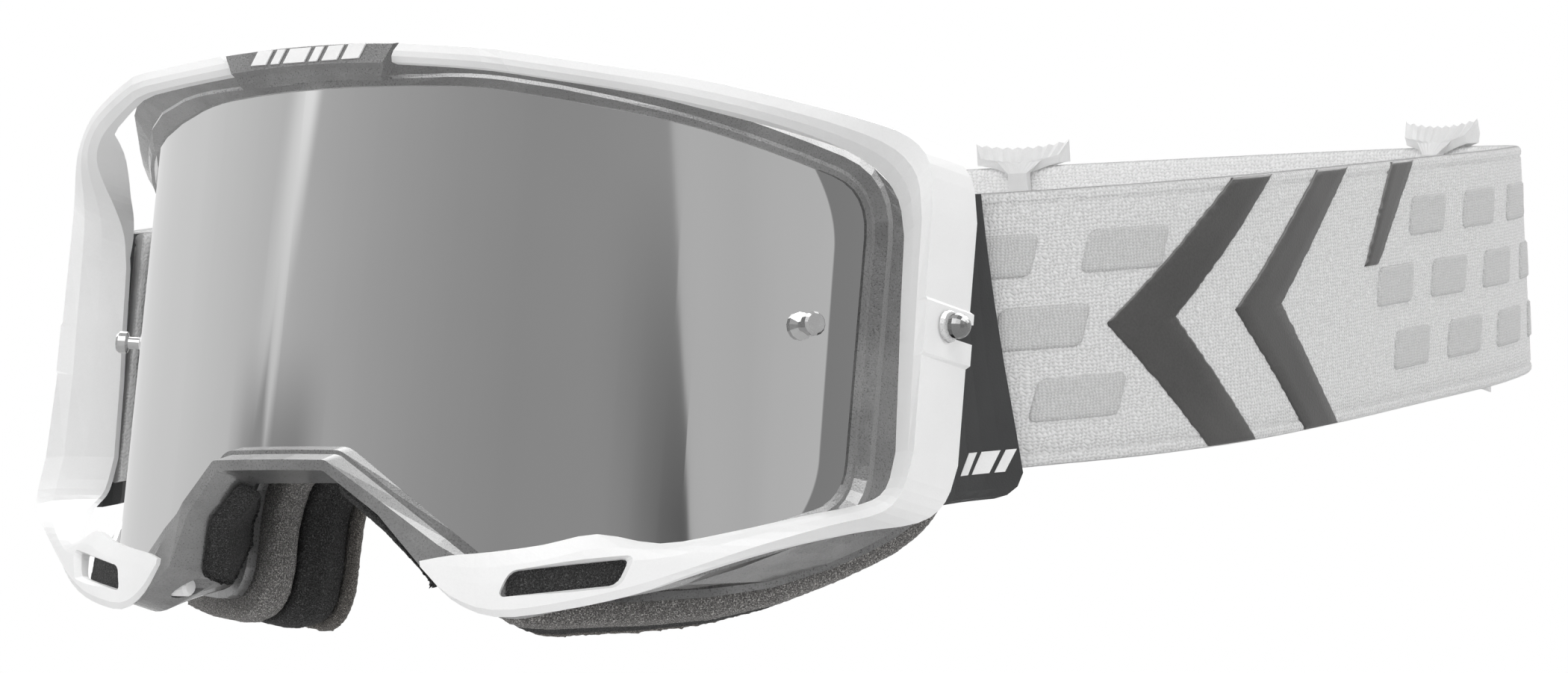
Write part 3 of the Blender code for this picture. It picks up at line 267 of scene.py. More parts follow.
# %% Lamps
# name, place, the point it faces, width and height in metres, and power in watts
SOFT_LAMPS = (
    ("front_left_panel", (-0.80, -0.80, -0.02), (0.0, 0.0, 0.0), (0.7, 0.25), 1.2),
    ("front_top_panel", (0.30, -0.80, 0.70), (0.0, 0.0, 0.0), (0.9, 0.5), 3.9),
    ("side_panel", (1.10, -0.15, 0.05), (0.0, 0.05, 0.0), (0.8, 0.4), 0.9),
    ("back_panel", (0.35, 0.75, 0.55), (-0.08, 0.05, 0.0), (0.6, 0.6), 1.5),
)
SPOT_PLACE = (0.30, -0.90, -0.08)
SPOT_AIM = (-0.085, -0.010, 0.014)
SPOT_POWER = 1.5
SPOT_CONE = math.radians(6.5)
SPOT_FADE = 0.8
SPOT_RADIUS = 0.03


def hang_lamp(data, power, place, target):
    """Set a lamp in the studio and aim it; mirror reflections leave it out."""
    data.energy = power
    lamp = bpy.data.objects.new(data.name, data)
    scene.collection.objects.link(lamp)
    lamp.location = place
    lamp.rotation_euler = (Vector(target) - Vector(place)).to_track_quat("-Z", "Y").to_euler()
    lamp.visible_glossy = False


for name, place, target, size, power in SOFT_LAMPS:
    soft_panel = bpy.data.lights.new(name, "AREA")
    soft_panel.shape = "RECTANGLE"
    soft_panel.size, soft_panel.size_y = size
    hang_lamp(soft_panel, power, place, target)
far_spot = bpy.data.lights.new("far_side_spot", "SPOT")
far_spot.spot_size = SPOT_CONE
far_spot.spot_blend = SPOT_FADE
far_spot.shadow_soft_size = SPOT_RADIUS
hang_lamp(far_spot, SPOT_POWER, SPOT_PLACE, SPOT_AIM)
print("lamps:", len(SOFT_LAMPS) + 1)

# %% Floor
FLOOR_LEVEL = -0.165
FLOOR_RADIUS = 2.5
FLOOR_SIDES = 96
bpy.ops.mesh.primitive_circle_add(vertices=FLOOR_SIDES, radius=FLOOR_RADIUS, fill_type="NGON",
                                  location=(0, 0, FLOOR_LEVEL))
floor = bpy.context.object
floor.name = "studio_floor"
floor_finish = bpy.data.materials.new("studio_floor")
floor_finish.use_nodes = True
floor_tree = floor_finish.node_tree
floor_paint = floor_tree.nodes["Principled BSDF"]
floor_paint.inputs["Roughness"].default_value = 0.8
mottle = add_node(floor_tree, "ShaderNodeTexNoise", {"Scale": 9.0, "Detail": 2.0})
tone = mix_colours(floor_tree, mottle.outputs[0], grey(0.90), grey(0.93))
floor_tree.links.new(tone, floor_paint.inputs["Base Color"])
floor.data.materials.append(floor_finish)
print("floor at", FLOOR_LEVEL)

# %% [markdown]
# ## Shared effects
# Moulded plastic is never one flat grey: the mould's fine spark texture shows as grain, and the plastic
# flows into slightly lighter and darker patches. Foam is open cells. Elastic is rows of looped yarn.
# Each effect is one node group, placed with its own colours and sizes in every finish that needs it.

# %% Moulded grain
# nearly all values of a noise texture lie in these spans
NOISE_SPAN = (0.3, 0.7)
NARROW_SPAN = (0.32, 0.68)
SPECKLE_SHARE = 0.45
grain_group, grain_in, grain_out = open_group(
    "moulded_grain",
    [("Dark", "Color", grey(0.2)), ("Light", "Color", grey(0.3)), ("Patch Scale", "Float", 60.0),
     ("Grain Scale", "Float", 2500.0), ("Smoothest", "Float", 0.3), ("Roughest", "Float", 0.4)],
    [("Color", "Color"), ("Roughness", "Float"), ("Height", "Float")],
)
where = add_node(grain_group, "ShaderNodeTexCoord").outputs["Object"]
patches = add_node(grain_group, "ShaderNodeTexNoise", {"Detail": 3.0, "Roughness": 0.55})
speckle = add_node(grain_group, "ShaderNodeTexNoise", {"Detail": 2.0, "Roughness": 0.6})
grain_group.links.new(where, patches.inputs["Vector"])
grain_group.links.new(where, speckle.inputs["Vector"])
grain_group.links.new(grain_in.outputs["Patch Scale"], patches.inputs["Scale"])
grain_group.links.new(grain_in.outputs["Grain Scale"], speckle.inputs["Scale"])
patch_share = ramp(grain_group, patches.outputs[0], *NARROW_SPAN, 0, 1)
patch_share = calculate(grain_group, "MULTIPLY", patch_share, 1 - SPECKLE_SHARE)
speckle_share = ramp(grain_group, speckle.outputs[0], *NOISE_SPAN, 0, 1, "LINEAR")
share = calculate(grain_group, "MULTIPLY_ADD", speckle_share, SPECKLE_SHARE, patch_share)
grain_colour = mix_colours(grain_group, share, grain_in.outputs["Dark"], grain_in.outputs["Light"])
spread = calculate(grain_group, "SUBTRACT", grain_in.outputs["Roughest"], grain_in.outputs["Smoothest"])
grain_rough = calculate(grain_group, "MULTIPLY_ADD", speckle_share, spread, grain_in.outputs["Smoothest"])
grain_group.links.new(grain_colour, grain_out.inputs["Color"])
grain_group.links.new(grain_rough, grain_out.inputs["Roughness"])
grain_group.links.new(speckle_share, grain_out.inputs["Height"])
print("group", grain_group.name, "has", len(grain_group.nodes), "nodes")

# %% Foam cells
CELL_EDGES = (0.15, 0.75)
CELL_SHARE = 0.45
FLECK_SPAN = (0.53, 0.68)
FLECK_SHARE = 0.85
foam_group, foam_in, foam_out = open_group(
    "foam_cells",
    [("Pore", "Color", grey(0.01)), ("Wall", "Color", grey(0.1)), ("Cell Scale", "Float", 1300.0)],
    [("Color", "Color"), ("Height", "Float")],
)
where = add_node(foam_group, "ShaderNodeTexCoord").outputs["Object"]
cells = add_node(foam_group, "ShaderNodeTexVoronoi", {"Randomness": 1.0}, feature="F1")
fluff = add_node(foam_group, "ShaderNodeTexNoise", {"Scale": 3000.0, "Detail": 3.0, "Roughness": 0.7})
fleck = add_node(foam_group, "ShaderNodeTexNoise", {"Scale": 4000.0, "Detail": 1.0})
for texture in (cells, fluff, fleck):
    foam_group.links.new(where, texture.inputs["Vector"])
foam_group.links.new(foam_in.outputs["Cell Scale"], cells.inputs["Scale"])
cell_wall = ramp(foam_group, cells.outputs["Distance"], *CELL_EDGES, 0, 1)
fluff_share = ramp(foam_group, fluff.outputs[0], *NOISE_SPAN, 0.35, 1.0, "LINEAR")
fleck_share = ramp(foam_group, fleck.outputs[0], *FLECK_SPAN, 0.0, FLECK_SHARE, "LINEAR")
wall_share = calculate(foam_group, "MULTIPLY", cell_wall, fluff_share)
wall_share = calculate(foam_group, "MULTIPLY", wall_share, CELL_SHARE)
wall_share = calculate(foam_group, "ADD", wall_share, fleck_share)
foam_colour = mix_colours(foam_group, wall_share, foam_in.outputs["Pore"], foam_in.outputs["Wall"])
foam_group.links.new(foam_colour, foam_out.inputs["Color"])
foam_group.links.new(wall_share, foam_out.inputs["Height"])
print("group", foam_group.name, "has", len(foam_group.nodes), "nodes")


# %% Rows and loops of knitted yarn
YARN_DRIFT = 0.42
LOOP_SLANT = 0.9
LOOP_EDGES = (0.08, 0.5)


def off_centre(tree, count):
    """How far a running count is from the middle of its unit, 0 to 0.5."""
    part = calculate(tree, "SUBTRACT", calculate(tree, "FRACT", count), 0.5)
    return calculate(tree, "ABSOLUTE", part)


knit_group, knit_in, knit_out = open_group(
    "knitted_elastic",
    [("Shade", "Color", grey(0.4)), ("Yarn", "Color", grey(0.7)), ("Wale", "Float", 0.00080),
     ("Course", "Float", 0.00062), ("Heather", "Float", 0.5)],
    [("Color", "Color"), ("Height", "Float")],
)
cloth_place = add_node(knit_group, "ShaderNodeUVMap", uv_map="cloth")
across = add_node(knit_group, "ShaderNodeSeparateXYZ")
knit_group.links.new(cloth_place.outputs[0], across.inputs[0])
wander = add_node(knit_group, "ShaderNodeTexNoise", {"Scale": 520.0, "Detail": 2.0})
knit_group.links.new(cloth_place.outputs[0], wander.inputs["Vector"])
drift = ramp(knit_group, wander.outputs[0], *NOISE_SPAN, -YARN_DRIFT, YARN_DRIFT, "LINEAR")
wale_count = calculate(knit_group, "DIVIDE", across.outputs["X"], knit_in.outputs["Wale"])
wale_place = off_centre(knit_group, calculate(knit_group, "ADD", wale_count, drift))
wale_round = ramp(knit_group, wale_place, 0.0, 0.5, 1.0, 0.0)
course_count = calculate(knit_group, "DIVIDE", across.outputs["Y"], knit_in.outputs["Course"])
course_count = calculate(knit_group, "SUBTRACT", course_count, drift)
loop_count = calculate(knit_group, "MULTIPLY_ADD", wale_place, LOOP_SLANT, course_count)
loop_round = ramp(knit_group, off_centre(knit_group, loop_count), *LOOP_EDGES, 1.0, 0.0)
stitch = calculate(knit_group, "MULTIPLY", calculate(knit_group, "ADD", loop_round, wale_round), 0.5)
knit_group.links.new(stitch, knit_out.inputs["Height"])
print("group", knit_group.name, "has", len(knit_group.nodes), "nodes")

# %% Heathered colour of the yarn
heather = add_node(knit_group, "ShaderNodeTexNoise", {"Scale": 900.0, "Detail": 3.0, "Roughness": 0.7})
knit_group.links.new(cloth_place.outputs[0], heather.inputs["Vector"])
heather_share = ramp(knit_group, heather.outputs[0], *NARROW_SPAN, -0.5, 0.5, "LINEAR")
heather_share = calculate(knit_group, "MULTIPLY", heather_share, knit_in.outputs["Heather"])
yarn_share = calculate(knit_group, "ADD", stitch, heather_share)
yarn_colour = mix_colours(knit_group, yarn_share, knit_in.outputs["Shade"], knit_in.outputs["Yarn"])
knit_group.links.new(yarn_colour, knit_out.inputs["Color"])
print("group", knit_group.name, "now has", len(knit_group.nodes), "nodes")


# %% One way to make a finish from an effect
def finish(name, group, values, bump=0.0, bump_depth=0.0002, **constants):
    """A material: a Principled shader fed by one effect, with constant values on its own sockets."""
    material = bpy.data.materials.new(name)
    material.use_nodes = True
    tree = material.node_tree
    shader = tree.nodes["Principled BSDF"]
    effect = add_node(tree, "ShaderNodeGroup", node_tree=group)
    for label, value in values.items():
        effect.inputs[label].default_value = value
    for label, socket in (("Color", "Base Color"), ("Roughness", "Roughness")):
        if label in effect.outputs:
            tree.links.new(effect.outputs[label], shader.inputs[socket])
    if bump:
        relief = add_node(tree, "ShaderNodeBump", {"Strength": bump, "Distance": bump_depth})
        tree.links.new(effect.outputs["Height"], relief.inputs["Height"])
        tree.links.new(relief.outputs[0], shader.inputs["Normal"])
    for label, value in constants.items():
        shader.inputs[label.replace("_", " ")].default_value = value
    return material


def dress(material, *names):
    """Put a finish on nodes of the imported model."""
    for name in names:
        slots = nodes[name].data.materials
        for index in range(max(len(slots), 1)):
            if slots:
                slots[index] = material
            else:
                slots.append(material)
    print(material.name, "on", ", ".join(names))


# %% [markdown]
# ## White outriggers
# The outriggers are injection-moulded in white nylon with a satin surface. A barely visible grain in colour
# and roughness is enough; the facets in the mesh do the rest. The two cheek pegs are the same plastic.

# %% White plastic
GRAIN_DEPTH = 0.0001
white_plastic = finish(
    "white_plastic", grain_group,
    {"Dark": grey(0.85), "Light": grey(0.90), "Patch Scale": 45.0, "Grain Scale": 3200.0,
     "Smoothest": 0.34, "Roughest": 0.46},
    bump=0.05, bump_depth=GRAIN_DEPTH, IOR=1.46,
)
dress(white_plastic, "outrigger_left", "outrigger_right", "cheek_peg_left", "cheek_peg_right")

# %% [markdown]
# ## Smoke-grey frame
# The face frame is a flexible, slightly cloudy grey rubber with a clear skin. A coat layer gives the long
# soft highlights on the ring; the cloudiness is a slow change of grey under it.

# %% Frame rubber
frame_rubber = finish(
    "frame_rubber", grain_group,
    {"Dark": grey(0.14), "Light": grey(0.29), "Patch Scale": 70.0, "Grain Scale": 3400.0,
     "Smoothest": 0.24, "Roughest": 0.42},
    bump=0.22, bump_depth=GRAIN_DEPTH, Coat_Weight=1.0, Coat_Roughness=0.12, Metallic=0.6,
)
dress(frame_rubber, "face_frame", "brow_bridge")

# %% [markdown]
# ## Mirrored lens
# The sheet is tinted polycarbonate with a silver flash coating outside. From the front it's a mirror with a
# darker border at the temples, from behind it's dark, smooth plastic. Two materials would need the faces
# sorted; one is enough, because the two sides are told apart by their normals: outside, the normal points
# away from the lens's own upright axis.

# %% Outside and inside of the lens
LENS_AXIS = (0.0, 0.021, 0.0)
LEVEL_PART = (1.0, 1.0, 0.0)
OUTSIDE_EDGE = (0.0, 0.01)
lens_mirror = bpy.data.materials.new("lens_mirror")
lens_mirror.use_nodes = True
lens_tree = lens_mirror.node_tree
lens_place = add_node(lens_tree, "ShaderNodeTexCoord")
from_axis = add_node(lens_tree, "ShaderNodeVectorMath", {1: LENS_AXIS}, operation="SUBTRACT")
lens_tree.links.new(lens_place.outputs["Object"], from_axis.inputs[0])
level_out = add_node(lens_tree, "ShaderNodeVectorMath", {1: LEVEL_PART}, operation="MULTIPLY")
lens_tree.links.new(from_axis.outputs[0], level_out.inputs[0])
facing = add_node(lens_tree, "ShaderNodeVectorMath", operation="DOT_PRODUCT")
lens_tree.links.new(level_out.outputs[0], facing.inputs[0])
lens_tree.links.new(lens_place.outputs["Normal"], facing.inputs[1])
outside = ramp(lens_tree, facing.outputs["Value"], *OUTSIDE_EDGE, 0, 1, "LINEAR")
print("lens axis at", LENS_AXIS)

# %% Border of the coating
# it starts at this turn from the front, in radians, sooner above and below a straight middle part
BORDER_TURN = 1.165
BORDER_MIDDLE = 0.0035
BORDER_STRAIGHT = 0.017
BORDER_ROUNDING = 20.0
BORDER_BLUR = 0.003
split = add_node(lens_tree, "ShaderNodeSeparateXYZ")
lens_tree.links.new(from_axis.outputs[0], split.inputs[0])
forward = calculate(lens_tree, "MULTIPLY", split.outputs["Y"], -1.0)
turn = calculate(lens_tree, "ABSOLUTE", calculate(lens_tree, "ARCTAN2", split.outputs["X"], forward))
off_middle = calculate(lens_tree, "ABSOLUTE", calculate(lens_tree, "ADD", split.outputs["Z"], BORDER_MIDDLE))
off_middle = calculate(lens_tree, "SUBTRACT", off_middle, BORDER_STRAIGHT)
off_middle = calculate(lens_tree, "MAXIMUM", off_middle, 0.0)
rounded = calculate(lens_tree, "POWER", calculate(lens_tree, "MULTIPLY", off_middle, BORDER_ROUNDING), 2.0)
past_edge = calculate(lens_tree, "SUBTRACT", calculate(lens_tree, "ADD", turn, rounded), BORDER_TURN)
border = ramp(lens_tree, past_edge, -BORDER_BLUR, BORDER_BLUR, 0, 1)
print("border starts at", round(math.degrees(BORDER_TURN), 1), "degrees")

# %% Lens coating
SILVER_DARK, SILVER_LIGHT = grey(0.60), grey(0.64)
BORDER_GREY = grey(0.27)
INSIDE_GREY = grey(0.035)
POLISH = (0.03, 0.05)
lens_shader = lens_tree.nodes["Principled BSDF"]
haze = add_node(lens_tree, "ShaderNodeTexNoise", {"Scale": 30.0, "Detail": 2.0})
lens_tree.links.new(lens_place.outputs["Object"], haze.inputs["Vector"])
silver = mix_colours(lens_tree, haze.outputs[0], SILVER_DARK, SILVER_LIGHT)
silver = mix_colours(lens_tree, border, silver, BORDER_GREY)
lens_tree.links.new(mix_colours(lens_tree, outside, INSIDE_GREY, silver), lens_shader.inputs["Base Color"])
lens_tree.links.new(outside, lens_shader.inputs["Metallic"])
lens_rough = ramp(lens_tree, haze.outputs[0], *NOISE_SPAN, *POLISH, "LINEAR")
lens_tree.links.new(lens_rough, lens_shader.inputs["Roughness"])
print("lens nodes:", len(lens_tree.nodes))

# %% [markdown]
# ## A finer lens
# A mirror shows every facet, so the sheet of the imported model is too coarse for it. A subdivision would
# bulge its rim. Cutting the same sheet by planes through its axis, and then setting each point on the exact
# radius, keeps the outline as it is.

# %% Cut the sheet and round it
LENS_RADIUS = 0.0760
LENS_THICKNESS = 0.0009
LENS_TURNS = np.arange(-75.0, 75.1, 1.25)
WELD = 0.00002
SHARP = math.radians(30)
lens_mesh = bmesh.new()
lens_mesh.from_mesh(nodes["lens"].data)
bmesh.ops.remove_doubles(lens_mesh, verts=lens_mesh.verts, dist=WELD)
for degrees in LENS_TURNS:
    angle = math.radians(degrees)
    everything = [*lens_mesh.verts, *lens_mesh.edges, *lens_mesh.faces]
    bmesh.ops.bisect_plane(lens_mesh, geom=everything, dist=WELD, plane_co=LENS_AXIS,
                           plane_no=(math.cos(angle), math.sin(angle), 0.0))
for vertex in lens_mesh.verts:
    away = vertex.co - Vector(LENS_AXIS)
    away.z = 0.0
    outer = away.length > LENS_RADIUS - LENS_THICKNESS / 2
    radius = LENS_RADIUS if outer else LENS_RADIUS - LENS_THICKNESS
    vertex.co += away.normalized() * (radius - away.length)
bmesh.ops.recalc_face_normals(lens_mesh, faces=lens_mesh.faces)
for edge in lens_mesh.edges:
    edge.smooth = edge.calc_face_angle(0.0) < SHARP
for face in lens_mesh.faces:
    face.smooth = True
print("lens faces", len(lens_mesh.faces))

# %% The lens as a piece
lens_fine = bpy.data.meshes.new("lens_sheet")
lens_mesh.to_mesh(lens_fine)
lens_mesh.free()
lens_fine.materials.append(lens_mirror)
lens_sheet = bpy.data.objects.new("lens_sheet", lens_fine)
scene.collection.objects.link(lens_sheet)
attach(lens_sheet, "goggle")
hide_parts("lens")
print(lens_sheet.name, "replaces the lens")

# %% [markdown]
# ## Small hardware
# Posts on the lens, ball pins and their collars are turned or moulded pieces a few millimetres across, so
# a bright clean reflection tells them apart: chrome for the pins, pale metal for the posts. The plates are
# charcoal plastic and the sliders milky white. Each is the same grain with its own values.

# %% Posts, pins and collars
post_metal = finish(
    "post_metal", grain_group,
    {"Dark": grey(0.46), "Light": grey(0.56), "Patch Scale": 300.0, "Grain Scale": 5000.0,
     "Smoothest": 0.10, "Roughest": 0.2}, Metallic=0.9,
)
pin_chrome = finish(
    "pin_chrome", grain_group,
    {"Dark": grey(0.20), "Light": grey(0.28), "Patch Scale": 300.0, "Grain Scale": 5000.0,
     "Smoothest": 0.12, "Roughest": 0.22}, Metallic=1.0,
)
collar_plastic = finish(
    "collar_plastic", grain_group,
    {"Dark": grey(0.62), "Light": grey(0.72), "Patch Scale": 300.0, "Grain Scale": 5000.0,
     "Smoothest": 0.25, "Roughest": 0.35}, Metallic=0.3,
)
dress(post_metal, "lens_post_left", "lens_post_right")
dress(pin_chrome, "temple_pin_left", "temple_pin_right")
dress(collar_plastic, "pin_collar_left", "pin_collar_right")

# %% Plates and sliders
plate_plastic = finish(
    "plate_plastic", grain_group,
    {"Dark": grey(0.028, -0.02), "Light": grey(0.038, -0.02), "Patch Scale": 90.0, "Grain Scale": 3600.0,
     "Smoothest": 0.42, "Roughest": 0.56},
    bump=0.15, bump_depth=GRAIN_DEPTH,
)
slider_plastic = finish(
    "slider_plastic", grain_group,
    {"Dark": grey(0.88), "Light": grey(0.95), "Patch Scale": 150.0, "Grain Scale": 3000.0,
     "Smoothest": 0.30, "Roughest": 0.42},
    bump=0.05, bump_depth=GRAIN_DEPTH, Transmission_Weight=0.30, IOR=1.45,
)
dress(plate_plastic, "strap_plate_left", "strap_plate_right", "strap_backing_left", "strap_backing_right")
dress(slider_plastic, "rear_slider", "side_slider")

# %% [markdown]
# ## Strap
# The strap is one elastic band, 45 mm wide, knitted with rolled edges and raised woven blocks. Flat
# webbing is best swept directly along its route: a simulation would only blur it. The route is the same
# as in the solid model: a smooth curve through points given as shares of the loop's half width and reach.

# %% Sizes of the strap
STRAP_RISE = math.radians(14.9)
STRAP_HALF_SPAN = 0.1225
STRAP_REACH = 0.2350
STRAP_WIDTH = 0.045
STRAP_THICKNESS = 0.0022
STRAP_START = np.array((0.0, -0.0116, -0.0024))
OUTRIGGER_HALF_WIDTH = 0.0952
STRAP_ROOT_INSET = 0.0118
STRAP_ROOT = OUTRIGGER_HALF_WIDTH - STRAP_ROOT_INSET
# shares of the half span past the root, and of the reach
FLARE = (
    (0.0, 0.0410), (0.010, 0.0564), (0.082, 0.0788), (0.286, 0.1083), (0.483, 0.1435),
    (0.673, 0.1951), (0.841, 0.277), (0.931, 0.404), (0.969, 0.553), (1.0, 0.702),
)
# shares of the whole half span and of the reach
REAR = (
    (0.976, 0.809), (0.924, 0.866), (0.852, 0.902), (0.788, 0.922), (0.724, 0.942),
    (0.660, 0.962), (0.482, 0.989), (0.270, 1.000), (0.130, 1.000),
)
print("points on each half of the route", len(FLARE) + len(REAR))

# %% Route of the strap
ROUTE_STEPS = 12


def smooth_route(points, steps):
    """A smooth curve that passes through every given point."""
    points = np.asarray(points, dtype=float)
    longer = np.vstack([2 * points[0] - points[1], points, 2 * points[-1] - points[-2]])
    curve = []
    for i in range(1, len(longer) - 2):
        a, b, c, d = longer[i - 1:i + 3]
        for t in np.arange(steps) / steps:
            curve.append(0.5 * (2 * b + (c - a) * t + (2 * a - 5 * b + 4 * c - d) * t ** 2
                                + (3 * b - a - 3 * c + d) * t ** 3))
    return np.array(curve + [points[-1]])


half_route = [(STRAP_ROOT + (STRAP_HALF_SPAN - STRAP_ROOT) * x, v * STRAP_REACH) for x, v in FLARE]
half_route = half_route + [(STRAP_HALF_SPAN * x, v * STRAP_REACH) for x, v in REAR]
plan = smooth_route(half_route + [(-x, v) for x, v in reversed(half_route)], ROUTE_STEPS)
rise_way = np.array((0.0, math.cos(STRAP_RISE), math.sin(STRAP_RISE)))
across_way = np.array((0.0, -math.sin(STRAP_RISE), math.cos(STRAP_RISE)))
route = STRAP_START + plan[:, :1] * np.array((1.0, 0.0, 0.0)) + plan[:, 1:] * rise_way
route_ways = np.gradient(route, axis=0)
route_lengths = np.concatenate([[0.0], np.cumsum(np.linalg.norm(np.diff(route, axis=0), axis=1))])
strap_length = float(route_lengths[-1])
print("strap length", round(strap_length, 4))

# %% Points on the strap
# near its ends the band turns upright, to meet the plates
END_FADE = 0.025


def on_strap(length, level, lift):
    """The point at a length from the left temple, a level across and a lift out of the strap's middle."""
    place = np.array([np.interp(length, route_lengths, route[:, k]) for k in range(3)])
    way = np.array([np.interp(length, route_lengths, route_ways[:, k]) for k in range(3)])
    way = way / np.linalg.norm(way)
    out = np.cross(way, across_way)
    out = out / np.linalg.norm(out)
    fade = min(max(1 - min(length, strap_length - length) / END_FADE, 0.0), 1.0)
    upright = across_way + rise_way * math.tan(STRAP_RISE) * fade
    return place + upright * level + out * lift


print("rearmost point of the strap", on_strap(strap_length / 2, 0.0, 0.0).round(4))


# %% A new piece on a body of the model
def mesh_piece(name, points, faces, materials, body, face_slots=None, uvs=None, smooth=True):
    """A new mesh object that rides on a body of the model."""
    mesh = bpy.data.meshes.new(name)
    mesh.from_pydata([tuple(p) for p in points], [], faces)
    for material in materials:
        mesh.materials.append(material)
    if face_slots is not None:
        mesh.polygons.foreach_set("material_index", face_slots)
    if uvs is not None:
        layer = mesh.uv_layers.new(name="cloth")
        corners = np.array([uvs[loop.vertex_index] for loop in mesh.loops], dtype=np.float32)
        layer.data.foreach_set("uv", corners.ravel())
    mesh.polygons.foreach_set("use_smooth", [smooth] * len(mesh.polygons))
    mesh.update()
    piece = bpy.data.objects.new(name, mesh)
    scene.collection.objects.link(piece)
    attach(piece, body)
    print(name, "has", len(faces), "faces")
    return piece


# %% Yarn finishes
YARN_DEPTH = 0.0002
strap_knit = finish(
    "strap_knit", knit_group,
    {"Shade": grey(0.55), "Yarn": grey(0.77), "Wale": 0.00080, "Course": 0.00062, "Heather": 0.55},
    bump=0.7, bump_depth=YARN_DEPTH, Roughness=0.9, Sheen_Weight=0.25,
)
# the inside yarn is painted paler than the outside yarn to make up for the shade inside the loop: painted
# light
strap_inside_painted_light = finish(
    "strap_inside_painted_light", knit_group,
    {"Shade": grey(0.74), "Yarn": grey(0.94), "Wale": 0.00100, "Course": 0.00080, "Heather": 0.6},
    bump=0.7, bump_depth=YARN_DEPTH, Roughness=0.9, Sheen_Weight=0.2,
)
block_knit = finish(
    "block_knit", knit_group,
    {"Shade": grey(0.46), "Yarn": grey(0.63), "Wale": 0.00064, "Course": 0.00052, "Heather": 0.35},
    bump=0.6, bump_depth=YARN_DEPTH, Roughness=0.85, Sheen_Weight=0.15,
)
print("yarns:", strap_knit.name, strap_inside_painted_light.name, block_knit.name)

# %% Section of the band
HEM_WIDTH = 0.0024
SECTION_STEPS = 17
OUTER_DROP = 0.00015
INNER_DROP = 0.0001
half_width = STRAP_WIDTH / 2
half_thick = STRAP_THICKNESS / 2
hem_in = half_width - HEM_WIDTH
surface = half_thick - OUTER_DROP
flat_levels = np.linspace(-hem_in, hem_in, SECTION_STEPS)
# the rolled hem, from the outer face round to the inner one: level across and lift from the middle
hem = [
    (hem_in + 0.0003, 0.00070), (hem_in + 0.0007, 0.00098), (hem_in + 0.0012, 0.00108),
    (hem_in + 0.0018, 0.00098), (half_width - 0.0002, 0.00062), (half_width, 0.0),
    (half_width - 0.0002, -0.00062), (hem_in + 0.0018, -0.00098), (hem_in + 0.0008, -0.00106),
]
profile = [(a, surface) for a in flat_levels] + hem
profile = profile + [(a, -half_thick + INNER_DROP) for a in flat_levels[::-1]]
profile = profile + [(-a, b) for a, b in reversed(hem)]
print("points round the band", len(profile))

# %% The elastic band
BAND_STEPS = 330
INSIDE_SHIFT = 0.1
INSIDE_BELOW = -0.001
points, uvs, faces, face_slots = [], [], [], []
count = len(profile)
for length in np.linspace(0.0, strap_length, BAND_STEPS):
    for a, b in profile:
        points.append(on_strap(length, a, b))
        uvs.append((length, a if b > 0 else a + INSIDE_SHIFT))
for i in range(BAND_STEPS - 1):
    for j in range(count):
        k = (j + 1) % count
        faces.append((i * count + j, i * count + k, (i + 1) * count + k, (i + 1) * count + j))
        face_slots.append(0 if profile[j][1] + profile[k][1] > INSIDE_BELOW else 1)
last = (BAND_STEPS - 1) * count
faces += [tuple(range(count))[::-1], tuple(range(last, last + count))]
face_slots += [0, 0]
strap = mesh_piece("elastic_strap", points, faces, [strap_knit, strap_inside_painted_light], "strap",
                   face_slots, uvs)
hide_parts("head_strap")

# %% [markdown]
# ## Raised blocks and print
# Three rows of woven blocks stand a few tenths of a millimetre out of the band, and a bold rubber print
# crosses each side. Both are thin closed slabs that follow the band, so they show in the outline. The
# print is a plain double chevron with a slash.

# %% Slabs that follow the strap
def add_slab(store, rows, lift_low, lift_edge, lift_top):
    """Add a closed slab to a store of points, faces and cloth places; rows hold (length, level)."""
    points, faces, uvs = store
    base = len(points)
    tall, wide = len(rows), len(rows[0])
    for top in (True, False):
        for i, row in enumerate(rows):
            for j, (length, level) in enumerate(row):
                rim = i in (0, tall - 1) or j in (0, wide - 1)
                lift = (lift_edge if rim else lift_top) if top else lift_low
                points.append(on_strap(length, level, lift))
                uvs.append((length, level))

    def at(i, j, under):
        return base + under * tall * wide + i * wide + j

    for i in range(tall - 1):
        for j in range(wide - 1):
            faces.append((at(i, j, 0), at(i, j + 1, 0), at(i + 1, j + 1, 0), at(i + 1, j, 0)))
            faces.append((at(i + 1, j, 1), at(i + 1, j + 1, 1), at(i, j + 1, 1), at(i, j, 1)))
    rim = [(0, j) for j in range(wide)] + [(i, wide - 1) for i in range(1, tall)]
    rim = rim + [(tall - 1, j) for j in range(wide - 2, -1, -1)] + [(i, 0) for i in range(tall - 2, 0, -1)]
    for (a, b), (c, d) in zip(rim, rim[1:] + rim[:1]):
        faces.append((at(c, d, 0), at(a, b, 0), at(a, b, 1), at(c, d, 1)))


def add_slab_pair(store, rows, lifts):
    """Add a slab to the left half of the loop, and its mirror image to the right half."""
    mirrored_rows = [[(strap_length - length, level) for length, level in row[::-1]] for row in rows]
    add_slab(store, rows, *lifts)
    add_slab(store, mirrored_rows, *lifts)


def lifts_from(height, sunk, edge, top):
    """Lifts of a slab's underside, rim and top, given from the height of the face that carries it."""
    return height - sunk, height + edge, height + top


print("outer face of the band lies", round(surface * 1000, 2), "mm from its middle")

# %% Sizes of the woven blocks
BLOCK_LENGTH = 0.0155
BLOCK_HEIGHT = 0.0070
BLOCK_PITCH = 0.0243
BLOCK_SLANT = 0.30
BLOCK_CORNER = 0.0013
BLOCK_LIFTS = lifts_from(surface, 0.0002, 0.00012, 0.00042)
BLOCK_SHARES = (0.0, 0.05, 0.14, 0.3, 0.5, 0.7, 0.86, 0.95, 1.0)
BLOCK_STEPS = (0.0, 0.03, 0.1, 0.3, 0.5, 0.7, 0.9, 0.97, 1.0)
PLATE_COVER = 0.0028
REAR_CLEARANCE = 0.004
